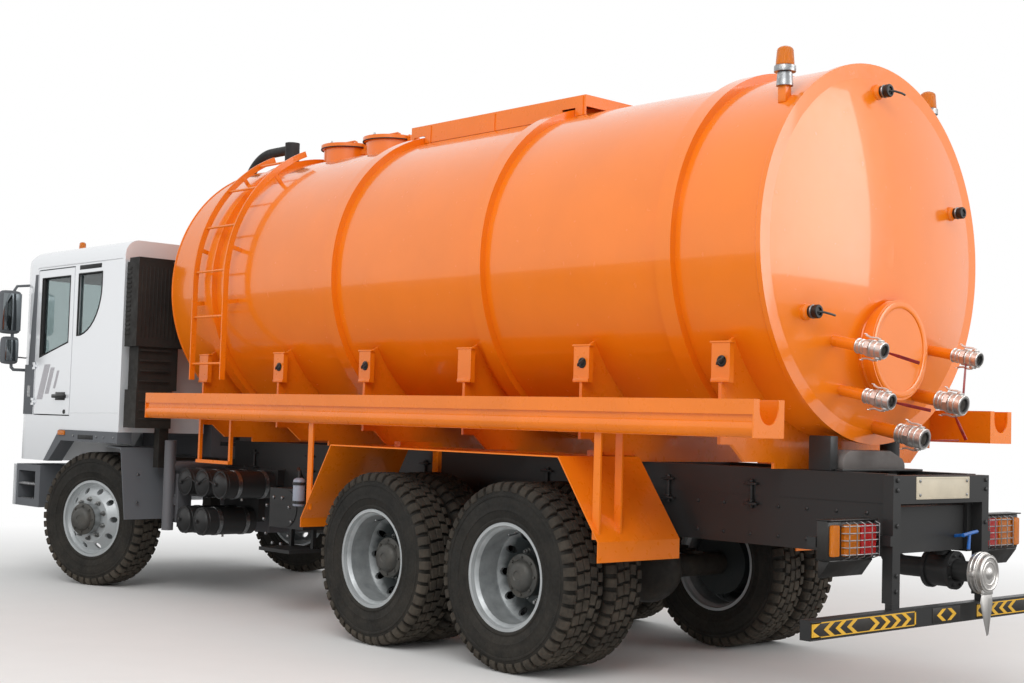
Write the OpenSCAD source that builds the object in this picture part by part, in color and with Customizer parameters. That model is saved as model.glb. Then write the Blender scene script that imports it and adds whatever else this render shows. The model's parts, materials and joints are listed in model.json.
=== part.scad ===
// Six-wheeled vacuum tanker truck with a cab over the engine.
// X runs forwards, Y to the left and Z up. Inside the modules X starts at the last axle,
// and place() moves the whole truck so that the middle of its length is at X = 0.

/* [Overall] */
// From the front axle to the first rear axle
wheelbase = 3860; // [3500:10:4700]
// Between the two rear axles
tandem = 1230; // [1180:10:1480]
// From the front axle to the front face of the bumper
front_overhang = 1510; // [1450:10:1800]
// From the last axle to the rear face of the drain cap
rear_overhang = 2170; // [2000:10:2600]
// Width over the sides of the cab
cab_w = 2440; // [2300:10:2500]

/* [Wheels] */
// Tyre radius
tyre_r = 540; // [480:5:560]
// Tyre width
tyre_w = 290; // [240:5:300]
// Radius of the rim's flange
rim_r = 312; // [280:1:330]
// Radius of the drop centre inside the rim
well_r = 268; // [240:1:280]
// Gap between the two tyres of a rear pair
dual_gap = 30; // [20:1:50]
// Distance between the middles of the front tyres
front_track = 2140; // [2000:10:2160]
// Width over the outer rear tyres
rear_w = 2480; // [2300:10:2500]
// Angle that the front wheels are turned to the left at rest
steer_rest = 18; // [0:1:25]
// Distance between the two kingpins
kingpin_track = 1760; // [1650:10:1800]
// Radius of a kingpin
kingpin_r = 24; // [20:1:30]
// Number of hand holes in a wheel disc
hand_holes = 10; // [6:1:12]

/* [Frame] */
// Height of the top of the frame rails
frame_top = 1060; // [1000:10:1120]
// Depth of a frame rail
rail_h = 270; // [220:10:300]
// Width of a frame rail
rail_w = 80; // [60:5:100]
// Width over the frame rails
frame_w = 860; // [780:10:900]
// Height of the subframe that carries the tank
sub_h = 150; // [100:10:200]

/* [Tank] */
// Radius of the barrel
tank_r = 1035; // [900:5:1060]
// Height of the barrel's centre line
tank_z = 2400; // [2350:10:2500]
// From the last axle back to the rear seam of the barrel
tank_rear = 1610; // [1500:10:1700]
// From the front axle back to the front seam of the barrel
tank_front_gap = 970; // [930:10:1100]
// Bulge of each tank head
dome_h = 120; // [80:5:160]
// Number of stiffening rings
ring_count = 4; // [3:1:5]
// Width of a stiffening ring
ring_w = 110; // [80:5:150]
// How far a ring stands out of the barrel
ring_h = 42; // [25:1:60]
// Radius of a top hatch's collar
hatch_r = 205; // [160:5:240]
// Radius of the manway on the rear head
manway_r = 272; // [220:1:300]

/* [Cab] */
// From the front axle back to the rear wall
cab_rear = 560; // [520:10:640]
// From the front axle to the front panel
cab_nose = 1370; // [1330:10:1400]
// Height of the roof
cab_top = 2790; // [2700:10:2900]
// Height of the joint between the roof and the walls
roof_z = 2640; // [2600:10:2660]
// Height of the floor over the front wheels
arch_z = 1250; // [1230:5:1290]
// Height of the lower edge of the front panel
sill_z = 980; // [960:5:1000]
// Wall thickness
wall = 50; // [30:1:70]
// Width of a door
door_w = 650; // [600:10:700]
// Height of a door's lower edge
door_low = 1375; // [1350:5:1420]
// Thickness of a door
door_t = 60; // [40:1:80]
// Gap around a door
door_gap = 10; // [8:1:14]
// Thickness of the window glass
glass_t = 6; // [4:1:10]

/* [Side gear] */
// Width of a hose tray
tray_w = 245; // [200:5:280]
// Height of a hose tray
tray_h = 190; // [150:5:220]
// Height of the underside of the hose trays
tray_z = 1375; // [1340:5:1390]
// Sheet thickness of the trays and mudguards
sheet = 8; // [5:1:12]
// Radius of an air tank
air_r = 105; // [80:1:120]
// Height of the middle of the under-run bar
bar_z = 484; // [430:2:520]
// Height of the under-run bar
bar_h = 96; // [90:2:120]

/* [Hidden] */

$fn = 64;
eps = 1;
seat_gap = 0.3;      // two pieces that face each other without touching
run_gap = 12;        // between a moving piece and a fixed one
left = 1;
right = -1;

// Places along the truck, from the last axle
axle3_x = 0;
axle2_x = tandem;
axle1_x = tandem + wheelbase;
nose_x = axle1_x + front_overhang;
tail_x = -rear_overhang;
shift_x = -(nose_x + tail_x) / 2;
axle_z = tyre_r;

// Frame
frame_low = frame_top - rail_h;
rail_y = (frame_w - rail_w) / 2;
sub_top = frame_top + sub_h;
frame_front = nose_x - 60 - seat_gap;
frame_drop_x = axle1_x + 640;
guard_in = 550;        // inner edge of a rear mudguard
guard_top = sub_top + 30;       // top of the rear mudguards
frame_rear = tail_x + 180;
gearbox_rear_x = axle1_x - 1250;
sub_y = rail_y + 45;        // outer face of the subframe

// Tank
barrel_rear = -tank_rear;
barrel_front = axle1_x - tank_front_gap;
barrel_len = barrel_front - barrel_rear;
dome_r = (tank_r * tank_r + dome_h * dome_h) / (2 * dome_h);
ring_first = 610;
ring_pitch = (barrel_len - ring_first - 600) / (ring_count - 1);
ring_x = [for (i = [0 : ring_count - 1]) barrel_rear + ring_first + i * ring_pitch];
tank_top = tank_z + tank_r;
hatch_top = tank_top + 95;
hatch_x = [barrel_front - 875, barrel_front - 1415];    // front, rear
lid_r = hatch_r + 22;
lid_t = 28;
hinge_out = lid_r + 26;
hinge_pin_r = 8;
hinge_eye_r = 18;
hinge_z = hatch_top + 12;
tank_low = tank_z - tank_r;
manway_z = tank_low + 505;
manway_len = 110;

// Steering and wheels
king_y = kingpin_track / 2;
wheel_y = front_track / 2;
front_wheel_out = wheel_y - king_y;
rim_w = tyre_w - 40;
dual_pitch = tyre_w + dual_gap;
outer_y = (rear_w - tyre_w) / 2;
face_y = outer_y - dual_pitch / 2;      // where the two discs of a rear pair meet
front_offset = 140;                     // from the middle of a front wheel out to its disc
hub_r = 120;
drum_r = 205;
spindle_r = 40;
tube_r = 60;

// Cab
cab_rear_x = axle1_x - cab_rear;
cab_nose_x = axle1_x + cab_nose;
cab_y = cab_w / 2;
screen_low = 1800;
screen_top = 2560;
screen_lean = 190;
nose_corner = 300;
roof_corner = 120;
door_front_x = axle1_x + 945;
door_rear_x = door_front_x - door_w;
door_top = roof_z - 28;
door_pin_r = 4.5;
door_pin_x = 5;             // from the door's front edge forwards to the pin
door_pin_out = 11;          // from the skin outwards to the pin
door_eye_r = 9;
pivot_x = cab_nose_x;
pivot_z = sill_z - 75;
pivot_r = 15;
cab_corner_x = cab_nose_x - nose_corner;
tunnel_y = 470;
seat_in = tunnel_y + 40;
seat_out = cab_y - 210;

// Hose trays
tray_in = tank_r - 35;
tray_out = tray_in + tray_w;
tray_front = barrel_front - 40;
tray_rear = barrel_rear - 150;
tray_len = tray_front - tray_rear;

module place() translate([shift_x, 0, 0]) children();

// Runs its children on both sides of the truck
module both_sides() {
    children();
    mirror([0, 1, 0]) children();
}

// A box given by its lowest and highest corners
module span(low, high) translate(low) cube(high - low);

// A bar that lies across the truck, with a round section
module cross_rod(r, length) rotate([90, 0, 0]) cylinder(r = r, h = length, center = true);

// A bar along X, with a round section, from its low end
module long_rod(r, length) rotate([0, 90, 0]) cylinder(r = r, h = length);

// An outline in X and Z, extruded across the truck from y0 to y1
module side_plate(y0, y1) translate([0, y1, 0]) rotate([90, 0, 0]) linear_extrude(y1 - y0) children();

// An outline in Y and Z, extruded along the truck from x0 to x1
module cross_plate(x0, x1)
    translate([x0, 0, 0]) rotate([90, 0, 90]) linear_extrude(x1 - x0) children();

// ---------------------------------------------------------------- frame and running gear

module frame() color("dimgray") {
    // columns: x of the cross-member's middle, its depth
    members = [[frame_front - 60, 120], [gearbox_rear_x - 60, 200], [axle2_x + 900, 200],
        [(axle2_x + axle3_x) / 2, 200], [axle3_x - 800, 200], [frame_rear + 60, 240]];
    front_top = sill_z - 50;
    difference() {
        union() {
            for (s = [left, right])
                translate([frame_rear, s * rail_y - rail_w / 2, frame_low])
                    cube([frame_front - frame_rear, rail_w, rail_h]);
            for (m = members)
                translate([m[0] - 40, -rail_y, (m[0] > frame_drop_x ? front_top : frame_top - 20) - m[1]])
                    cube([80, 2 * rail_y, m[1]]);
        }
        span([frame_drop_x, -frame_w, front_top], [nose_x, frame_w, frame_top + eps]);
        translate([pivot_x, 0, pivot_z]) cross_rod(pivot_r + 0.05, 2 * frame_w);
    }
}

module saddle_outline() {
    half = tray_in - seat_gap;
    low = sub_top + seat_gap;
    difference() {
        polygon([[0, low], [guard_in - 10, low], [guard_in - 10, guard_top + 5],
            [tray_in - 210, guard_top + 5], [tray_in - 100, tray_z - 40], [half, tray_z - 40],
            [half, 1860], [tray_in - 40, 1860], [0, tank_z]]);
        translate([0, tank_z]) circle(r = tank_r, $fn = 128);
    }
}

saddle_x = [for (i = [0 : 5]) barrel_rear + 260 + i * (barrel_len - 720) / 5];
saddle_t = 10;      // half the thickness of a saddle plate

module tank_saddles() color("darkorange") {
    pad_w = 120;
    for (x = saddle_x) {
        both_sides() {
            cross_plate(x - saddle_t, x + saddle_t) saddle_outline();
            span([x - pad_w / 2, tray_in - 36, 1655], [x + pad_w / 2, tray_in - seat_gap, 1860]);
        }
    }
}

module subframe() color("dimgray") {
    both_sides() span([frame_rear, rail_y - 45, frame_top + seat_gap], [barrel_front - 60, sub_y, sub_top]);
    for (x = saddle_x)
        span([x - saddle_t, -rail_y, frame_top + 20], [x + saddle_t, rail_y, sub_top]);
}

module engine() color("gray") {
    span([axle1_x - 520, -340, 720], [axle1_x + 620, 340, 1430]);
    span([gearbox_rear_x, -230, 480], [axle1_x - 519, 230, 1000]);
    // mounts out to the frame rails
    for (x = [axle1_x - 400, axle1_x + 400])
        span([x - 40, -rail_y + rail_w / 2 + seat_gap, 850], [x + 40, rail_y - rail_w / 2 - seat_gap, 900]);
}

module rear_axle(x) {
    // beam and diff bowl, stepped down to a spindle inside each hub
    translate([x, 0, axle_z]) {
        cross_rod(75, 2 * (face_y - 245));
        cross_rod(tube_r, 2 * (face_y + 90));
        sphere(r = 215);
    }
}

module axles() color("dimgray") {
    beam_y = king_y - 46;
    // front beam with a boss for the kingpin at each end
    span([axle1_x - 45, -beam_y, axle_z - 55], [axle1_x + 45, beam_y, axle_z + 35]);
    both_sides() translate([axle1_x, king_y, axle_z - 60]) difference() {
        union() {
            cylinder(r = 46, h = 120);
            translate([-40, -60, 5]) cube([80, 60, 90]);
        }
        translate([0, 0, -eps]) cylinder(r = kingpin_r + 0.05, h = 122);
    }
    rear_axle(axle2_x);
    rear_axle(axle3_x);
    // shafts from the gearbox to the rear axles
    translate([axle3_x, 0, axle_z]) long_rod(45, tandem);
    translate([axle2_x, 0, axle_z]) long_rod(45, gearbox_rear_x - seat_gap - axle2_x);
}

module leaf_pack(x, length, leaves, seat_z, step) {
    for (i = [0 : leaves - 1])
        translate([x - length / 2 + i * step, rail_y - 45, seat_z + i * 14])
            cube([length - 2 * i * step, 90, 14]);
}

module leaf_springs() color("dimgray") both_sides() {
    // front pack on the beam, hung from the rail by a hanger at each end
    leaf_pack(axle1_x, 1400, 4, axle_z + 35, 90);
    for (s = [-1, 1])
        translate([axle1_x + s * 660 - 35, rail_y - 45, axle_z + 49])
            cube([70, 90, frame_low - axle_z - 49]);
    // rear pack over both axles, turned down at the ends
    leaf_pack((axle2_x + axle3_x) / 2, tandem + 160, 6, axle_z + 78, 60);
    translate([(axle2_x + axle3_x) / 2 - 90, rail_y - 45, axle_z + 162])
        cube([180, 90, frame_low - axle_z - 162]);
    for (x = [axle2_x, axle3_x])
        translate([x - 60, rail_y - 45, axle_z + 75 + seat_gap]) cube([120, 90, 4]);
}

module air_tanks() color("dimgray") {
    // columns: x from the front axle, height
    places = [[-1110, 885], [-1360, 885], [-1610, 885], [-1110, 595], [-1360, 595]];
    out = 930;
    inner = frame_w / 2 + 60;
    for (p = places)
        translate([axle1_x + p[0], out, p[1]]) rotate([90, 0, 0]) cylinder(r = air_r, h = out - inner);
    span([axle1_x - 1730, inner - 60, 880], [axle1_x - 990, inner + eps, 1000]);
    span([axle1_x - 1480, inner - 60, 590], [axle1_x - 990, inner + eps, 881]);
}

module fuel_tank() color("silver")
    translate([axle1_x - 2350, -1150, 480]) difference() {
        cube([1150, 1150 - frame_w / 2 - seat_gap, 560]);
        for (z = [0, 560]) translate([-eps, 0, z]) rotate([45, 0, 0]) translate([0, -30, -30])
            cube([1152, 60, 60]);
    }

module exhaust() color("silver") {
    x = axle1_x - 925;
    y = 960;
    translate([x, y, 500]) cylinder(r = 45, h = 700);
    translate([x, frame_w / 2 + seat_gap, 1000]) rotate([-90, 0, 0])
        cylinder(r = 40, h = y - frame_w / 2 - 20);
    translate([x - 75, y - 160, 560]) cube([45, 120, 380]);
    translate([x - 40, y - 130, 700]) cube([60, 130, 60]);
}

module intake_stack() color("black") {
    x0 = barrel_front + dome_h + 40;
    x1 = cab_rear_x - 65;
    span([x0, 800, 1930], [x1, 1235, 2600]);
    span([x0 + 15, 815, 2600], [x1 - 15, 1225, 2635]);
    span([x0 + 20, 850, 1590], [x1 - 20, 1200, 1931]);
    span([x0, 900, 1290], [x1, 1215, 1591]);
    span([x0 + 30, frame_w / 2 + seat_gap, 980], [x0 + 110, 980, 1060]);
    span([x0 + 30, 900, 980], [x0 + 110, 980, 1291]);
}

// ---------------------------------------------------------------- tank

module barrel_outline() {
    // half section, with the height as X and the length as Y
    union() {
        square([tank_r, barrel_len]);
        for (x = ring_x) translate([0, x - barrel_rear - ring_w / 2]) square([tank_r + ring_h, ring_w]);
        translate([0, -15]) square([tank_r + 12, 30]);
        for (end = [0, 1])
            intersection() {
                translate([0, end * barrel_len + (1 - 2 * end) * (dome_r - dome_h)])
                    circle(r = dome_r, $fn = 256);
                translate([0, end * barrel_len + (end == 1 ? 0 : -dome_h)]) square([tank_r, dome_h]);
            }
    }
}

module barrel() translate([barrel_rear, 0, tank_z]) rotate([0, 90, 0])
    rotate_extrude($fn = 128) barrel_outline();

module tank() color("orangered") difference() {
    union() {
        barrel();
        // hatch collars, each with two hinge ears behind it
        for (x = hatch_x) {
            translate([x, 0, tank_top - 80]) cylinder(r = hatch_r, h = hatch_top - tank_top + 80);
            for (s = [left, right]) translate([x - hinge_out, s * 34, hinge_z]) {
                cross_rod(hinge_eye_r, 20);
                translate([-hinge_eye_r, -10, -70]) cube([2 * hinge_eye_r, 20, 70]);
                translate([0, -10, -70]) cube([hinge_out - hatch_r + 20, 20, 40]);
            }
        }
    }
    for (x = hatch_x) translate([x - hinge_out, 0, hinge_z]) cross_rod(hinge_pin_r + 0.05, 120);
}

module hatch_lid(x) color("orange") {
    top = hatch_top + seat_gap;
    translate([x, 0, top]) cylinder(r = lid_r, h = lid_t);
    translate([x, 0, top + lid_t - eps]) cylinder(r = lid_r * 0.6, h = 14);
    translate([x - hinge_out, 0, hinge_z]) {
        cross_rod(hinge_eye_r, 44);
        cross_rod(hinge_pin_r, 100);
        translate([0, -22, 0]) cube([60, 44, hinge_eye_r]);
    }
}

// Height that just clears the barrel's top at a distance across the truck
function barrel_top(y) = tank_z + sqrt(tank_r * tank_r - y * y) + seat_gap;

module walkway() color("darkorange") {
    front = hatch_x[1] - 600;
    rear = front - 1750;
    y = 300;
    deck = tank_top + ring_h + seat_gap;
    rail_up = 45;
    feet = [rear + 40, (rear + front) / 2, front - 200];
    // side sheets down to the barrel, notched over its rings, with a flat post at each foot
    both_sides() {
        difference() {
            span([rear, y - 8, barrel_top(y - 8)], [front, y, deck + rail_up]);
            for (x = ring_x)
                span([x - ring_w / 2 - 5, y - 9, barrel_top(y)], [x + ring_w / 2 + 5, y + eps, deck - 30]);
        }
        for (x = feet) span([x - 20, y - eps, barrel_top(y)], [x + 20, y + 6, deck + rail_up - 10]);
    }
    span([rear, -y + 8, deck], [front, y - 8, deck + 5]);
    span([rear, -y, deck - 30], [rear + 8, y, deck + rail_up]);
}

module manway_cover() color("orange") difference() {
    translate([barrel_rear, 0, manway_z]) rotate([0, -90, 0]) {
        cylinder(r = manway_r - 16, h = 60 + manway_len - 30);
        translate([0, 0, 60 + manway_len - 34]) cylinder(r = manway_r, h = 34);
    }
    barrel();
}

// ---------------------------------------------------------------- outlets at the rear

// columns: y, height of the root, pipe radius, coupling radius
outlets = [[470, tank_low + 530, 30, 42], [-470, tank_low + 530, 30, 42], [355, tank_low + 275, 30, 42],
    [-355, tank_low + 275, 38, 55], [0, tank_low + 85, 38, 55]];
droop = 11;
pipe_len = 150;
coupling_len = 165;
drain_y = -270;
drain_z = 690;
cap_len = 71 + seat_gap;

function head_x(y, z) = barrel_rear - dome_h + dome_r
    - sqrt(dome_r * dome_r - y * y - (z - tank_z) * (z - tank_z));

module at_outlet(o) translate([head_x(o[0], o[1]), o[0], o[1]]) rotate([0, -90 - droop, 0]) children();

module outlet_pipes() color("orange")
    difference() {
        for (o = outlets) at_outlet(o) translate([0, 0, -40]) cylinder(r = o[2], h = pipe_len + 40);
        barrel();
    }

module couplings() color("silver") {
    for (o = outlets) at_outlet(o) translate([0, 0, pipe_len + seat_gap]) difference() {
        union() {
            cylinder(r = o[3] - 6, h = coupling_len);
            translate([0, 0, coupling_len * 0.55]) cylinder(r = o[3], h = coupling_len * 0.45);
        }
        translate([0, 0, 60]) cylinder(r = o[2], h = coupling_len);
    }
    // cap on the drain valve
    translate([tail_x, drain_y, drain_z]) {
        long_rod(100, 22);
        translate([21, 0, 0]) long_rod(108, 50);
    }
}

// ---------------------------------------------------------------- side gear

module tray_outline() {
    // across the truck, from the inner wall out to a top band, a groove and a round rib
    band = 75;
    rib = 48;
    outer_t = 24;
    square([sheet + 2, tray_h]);
    square([tray_w - rib, sheet]);
    translate([tray_w - outer_t, tray_h - band]) square([outer_t, band]);
    translate([tray_w - 34, rib]) square([20, tray_h - band - rib + eps]);
    intersection() {
        translate([tray_w - rib, rib]) circle(r = rib);
        translate([tray_w - 34, 0]) square([34, 2 * rib]);
    }
    translate([tray_w - rib - eps, 0]) square([15, sheet]);
}

module tray_end_outline() {
    notch = 77;
    deep = 50;
    difference() {
        square([tray_w, tray_h]);
        translate([tray_w / 2, tray_h - deep]) circle(r = notch);
        translate([tray_w / 2 - notch, tray_h - deep]) square([2 * notch, deep + eps]);
    }
}

module hose_trays() color("orange") both_sides() {
    translate([0, tray_in, tray_z]) {
        cross_plate(tray_rear, tray_front) tray_outline();
        for (x = [tray_rear, tray_front - sheet]) cross_plate(x, x + sheet) tray_end_outline();
    }
}

module mudguard_outline(inset) {
    // outline of the folded sheet over both rear tyres, in X and Z
    top = guard_top - inset;
    polygon([[axle2_x + 790 - inset, 680], [axle2_x + 790 - inset, 740], [axle2_x + 480 - inset * 0.6, top],
        [axle3_x - 400 + inset * 0.6, top], [axle3_x - 720 + inset, 790], [axle3_x - 720 + inset, 680]]);
}

module rear_mudguards() color("orange") both_sides() {
    side_plate(guard_in, 1215) difference() {
        mudguard_outline(0);
        mudguard_outline(sheet);
        translate([-2000, 600]) square([5000, 80]);
    }
    // struts up to the hose tray: x, y, height of the foot on the slanted sheet
    struts = [[axle2_x + 745, tray_out - 65, 800], [axle3_x - 668, tray_out - 65, 800],
        [axle3_x - 668, tray_in + 10, 800]];
    for (p = struts)
        span([p[0] - 25, p[1] - 6, p[2]], [p[0] + 25, p[1] + 6, tray_z - seat_gap]);
    // arms out of the frame
    for (x = [axle2_x + 300, axle3_x - 250])
        span([x - 30, sub_y + seat_gap, guard_top - eps], [x + 30, guard_in + 250, guard_top + 30]);
    for (x = [axle2_x + 300, axle3_x - 250])
        span([x - 30, sub_y + seat_gap, 1000], [x + 30, sub_y + 30, guard_top + eps]);
}

module ladder() color("orange") {
    r = tank_r + 72;
    stiles = [barrel_front - 930, barrel_front - 510];
    foot_z = 1670;
    bar = 45;
    arc = 66;
    rung = 9;
    rung_r = r + bar / 2;
    for (x = stiles) {
        span([x - 5, r + eps, foot_z], [x + 5, r + bar - eps, tank_z + 4]);
        translate([x + 6, 0, tank_z]) rotate([0, -90, 0]) rotate([0, 0, 90 - arc])
            rotate_extrude(angle = arc, $fn = 128) translate([r, 0]) square([bar, 12]);
        // stand-offs from the barrel
        for (a = [-8, 13, 49]) translate([x, 0, tank_z]) rotate([a, 0, 0])
            span([-5, tank_r + seat_gap, -15], [5, r + 20, 15]);
    }
    // rungs on the straight part, then on the arc
    for (z = [1790, 2140])
        translate([stiles[0] - 5, rung_r, z]) long_rod(rung, stiles[1] - stiles[0] + 10);
    for (a = [4, 22, 40, 58])
        translate([stiles[0] - 5, rung_r * cos(a), tank_z + rung_r * sin(a)])
            long_rod(rung, stiles[1] - stiles[0] + 10);
    // step hung under the hose tray
    step_low = 1050;
    for (x = stiles) span([x - 12, tray_in + 20, step_low], [x + 12, tray_in + 44, tray_z - seat_gap]);
    span([stiles[0] - 12, tray_in + 20, step_low], [stiles[1] + 12, tray_in + 60, step_low + 24]);
}

module pump_set() color("black") {
    x = axle1_x - 2400;
    span([x - 260, 560, 620], [x + 160, 900, 900]);
    translate([x - 50, 905, 760]) rotate([90, 0, 0]) cylinder(r = 130, h = 345);
    span([x - 260, frame_w / 2 + seat_gap, 800], [x + 160, 561, 880]);
    span([x - 190, 640, 450], [x + 190, 960, 475]);
    for (dx = [-150, 120]) span([x + dx, 700, 474], [x + dx + 30, 730, 621]);
}

module vacuum_pipe() color("black") {
    r = 38;
    bend = 380;
    pot_r = 58;
    x = barrel_front + dome_h + 110;
    y = 250;
    top = tank_top + 120;
    pot_x = x - bend - 290;
    translate([x, y, sub_top - 30]) cylinder(r = r, h = top - bend - sub_top + 30);
    translate([x - bend, y, top - bend]) rotate([90, 0, 0])
        rotate_extrude(angle = 90, $fn = 64) translate([bend, 0]) circle(r = r);
    translate([pot_x, y, top]) long_rod(r, x - bend - pot_x);
    // valve pot on the tank
    difference() {
        translate([pot_x, y, tank_top - 60]) cylinder(r = pot_r, h = top + r + 12 - tank_top + 60);
        barrel();
    }
    // clip to the subframe
    span([barrel_front - 60 + seat_gap, y - 30, sub_top - 50], [x, rail_y, sub_top - 20]);
}

// ---------------------------------------------------------------- rear end

post_in = 400;
post_out = 470;
post_back = frame_rear - 60;
lamp_back = tail_x + 180;
lamp_in = 520;
lamp_out = 930;
lamp_t = 80;
arm_front = lamp_back + 130;
bar_back = tail_x + 90;

module rear_frame() color("black") {
    both_sides() {
        span([post_back, post_in, 560], [frame_rear - seat_gap, post_out, 1200]);
        // arm that carries a lamp
        span([post_back, post_out - eps, 850], [arm_front, post_out + 20, 900]);
        span([lamp_back + lamp_t + seat_gap, post_out + 19, 850], [arm_front, lamp_out, 900]);
    }
    span([post_back, -post_out, 1060], [frame_rear - seat_gap, post_out, 1205]);
}

module tail_lamps() color("red") both_sides()
    span([lamp_back, lamp_in, 785], [lamp_back + lamp_t, lamp_out, 985]);

module underrun_bar() color("black") {
    translate([bar_back, -1200, bar_z - bar_h / 2]) cube([60, 2400, bar_h]);
    both_sides() span([post_back, post_in, bar_z], [post_back + 40, post_out, 560 - seat_gap]);
}

module drain_valve() color("black") {
    bend = 110;
    r = 55;
    foot_x = barrel_rear + 60;
    surface = tank_z - sqrt(tank_r * tank_r - drain_y * drain_y);
    translate([tail_x + cap_len, drain_y, drain_z]) long_rod(r, foot_x - bend - tail_x - cap_len);
    translate([tail_x + 200, drain_y, drain_z]) long_rod(92, 150);
    translate([foot_x - bend, drain_y, drain_z + bend]) rotate([90, 0, 0])
        rotate([0, 0, -90]) rotate_extrude(angle = 90, $fn = 64) translate([bend, 0]) circle(r = r);
    difference() {
        translate([foot_x, drain_y, drain_z + bend]) cylinder(r = r, h = surface + 60 - drain_z - bend);
        barrel();
    }
}

module front_bumper() color("white") difference() {
    intersection() {
        span([nose_x - 260, -cab_y, 575], [nose_x, cab_y, 930]);
        linear_extrude(1200) union() {
            translate([nose_x - 700, -cab_y]) square([400, cab_w]);
            translate([nose_x - 700, -cab_y + 300]) square([700, cab_w - 600]);
            for (s = [left, right]) translate([nose_x - 300, s * (cab_y - 300)]) circle(r = 300);
        }
    }
    span([nose_x - 300, -cab_y + 320, 560], [nose_x - 60, cab_y - 320, 940]);
}

module cab_steps() color("dimgray") both_sides() {
    front = nose_x - 260 - seat_gap;
    rear = axle1_x + 800;
    difference() {
        span([rear, 860, 575], [front, cab_y - 15, 935]);
        span([rear + 90, 940, 640], [front - 40, cab_y, 880]);
    }
    span([(rear + front) / 2 - 30, frame_w / 2 + seat_gap, 820], [(rear + front) / 2 + 30, 861, 880]);
}

module front_mudguards() color("dimgray") both_sides() {
    x = axle1_x - 690;
    side_plate(760, 1205)
        polygon([[x, 570], [x + 10, 570], [x + 110, 1120], [x + 330, 1130], [x + 330, 1140], [x + 102, 1130]]);
    span([x + 50, frame_w / 2 + seat_gap, 960], [x + 85, 765, 1000]);
}

// ---------------------------------------------------------------- cab

// Side view of the cab, drawn inwards by t
module cab_side(t) {
    polygon([[cab_rear_x + t, arch_z + t], [cab_rear_x + t, cab_top - t],
        [cab_nose_x - screen_lean - 120 - t, cab_top - t], [cab_nose_x - screen_lean - t, cab_top - 130 - t * 0.4],
        [cab_nose_x - t, screen_low], [cab_nose_x - t, sill_z + t],
        [axle1_x + 710 + t * 0.6, sill_z + t], [axle1_x + 440 + t * 0.6, arch_z + t]]);
}

// Plan of the cab, with round front corners
module cab_plan(t) {
    y = cab_y - t;
    r = nose_corner - t;
    translate([cab_rear_x + t, -y]) square([cab_nose_x - cab_rear_x - r - 2 * t, 2 * y]);
    translate([cab_rear_x + t, -y + r]) square([cab_nose_x - cab_rear_x - 2 * t, 2 * (y - r)]);
    for (s = [left, right]) translate([cab_nose_x - t - r, s * (y - r)]) circle(r = r);
}

// Front view of the cab, with round roof edges
module cab_face(t) {
    y = cab_y - t;
    r = roof_corner - t;
    translate([-y, sill_z + t]) square([2 * y, cab_top - sill_z - r - 2 * t]);
    translate([-y + r, sill_z + t]) square([2 * (y - r), cab_top - sill_z - 2 * t]);
    for (s = [left, right]) translate([s * (y - r), cab_top - t - r]) circle(r = r);
}

module cab_solid(t) intersection() {
    side_plate(-cab_y, cab_y) cab_side(t);
    linear_extrude(cab_top) cab_plan(t);
    cross_plate(cab_rear_x, cab_nose_x) cab_face(t);
}

module cab_hollow() difference() {
    cab_solid(0);
    cab_solid(wall);
}

module door_outline(grow) {
    translate([door_rear_x - grow, door_low - grow])
        square([door_w + 2 * grow, door_top - door_low + 2 * grow]);
}

module door_window(shrink) {
    x0 = door_rear_x + 70 + shrink;
    x1 = door_front_x - 65 - shrink;
    polygon([[x0, 1985 + shrink], [x1, 1865 + shrink], [x1, 2545 - shrink], [x0, 2545 - shrink]]);
}

module quarter_window(shrink) {
    x0 = cab_rear_x + 370 + shrink;
    x1 = door_rear_x - 80 - shrink;
    r = x1 - x0;
    translate([x0, 2550 - 110 - shrink]) square([r, 110]);
    intersection() {
        translate([x1, 2441 - shrink]) circle(r = r);
        translate([x0, 2441 - shrink - r]) square([r, r]);
    }
}

module screen_cut() span([cab_nose_x - 420, -cab_y + 150, screen_low + 20],
    [cab_nose_x + eps, cab_y - 150, screen_top]);

// One leaf of a door hinge about its pin, from z0 to z1; it lies on the skin towards dir
module hinge_leaf(z0, z1, dir) {
    translate([0, 0, z0]) cylinder(r = door_eye_r, h = z1 - z0);
    span([dir > 0 ? 0 : -45, -door_pin_out - eps, z0], [dir > 0 ? 45 : 0, -door_pin_out + 8, z1]);
}

module at_door_hinges() for (z = [1480, 1790])
    translate([door_front_x + door_pin_x, cab_y + door_pin_out, z]) children();

module tunnel(t) span([cab_rear_x - eps, -tunnel_y + t, sill_z - 30],
    [axle1_x + 760 - t, tunnel_y - t, 1540 - t]);

module cab_shell() color("white") {
    difference() {
        union() {
            cab_hollow();
            intersection() {
                tunnel(0);
                cab_solid(0);
            }
        }
        span([0, -cab_y - eps, roof_z], [nose_x, cab_y + eps, cab_top + eps]);
        side_plate(-cab_y - eps, cab_y + eps) door_outline(door_gap);
        side_plate(-cab_y - eps, cab_y + eps) quarter_window(0);
        screen_cut();
        tunnel(25);
    }
    both_sides() at_door_hinges() difference() {
        for (z = [-30, 10]) hinge_leaf(z, z + 20, 1);
        cylinder(r = door_pin_r + 0.05, h = 80, center = true);
    }
    // ears that the cab tilts on, with pins into the frame rails
    both_sides() {
        span([pivot_x - 25, frame_w / 2 + 5, pivot_z], [pivot_x, frame_w / 2 + 35, sill_z + eps]);
        translate([pivot_x, frame_w / 2 + 20, pivot_z]) cross_rod(28, 30);
        translate([pivot_x, frame_w / 2 - 20, pivot_z]) cross_rod(pivot_r, 90);
    }
}

module cab_roof() color("white") intersection() {
    cab_hollow();
    span([0, -cab_y - eps, roof_z], [nose_x, cab_y + eps, cab_top + eps]);
}

module glass_sheet() difference() {
    cab_solid(18);
    cab_solid(18 + glass_t);
}

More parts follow.
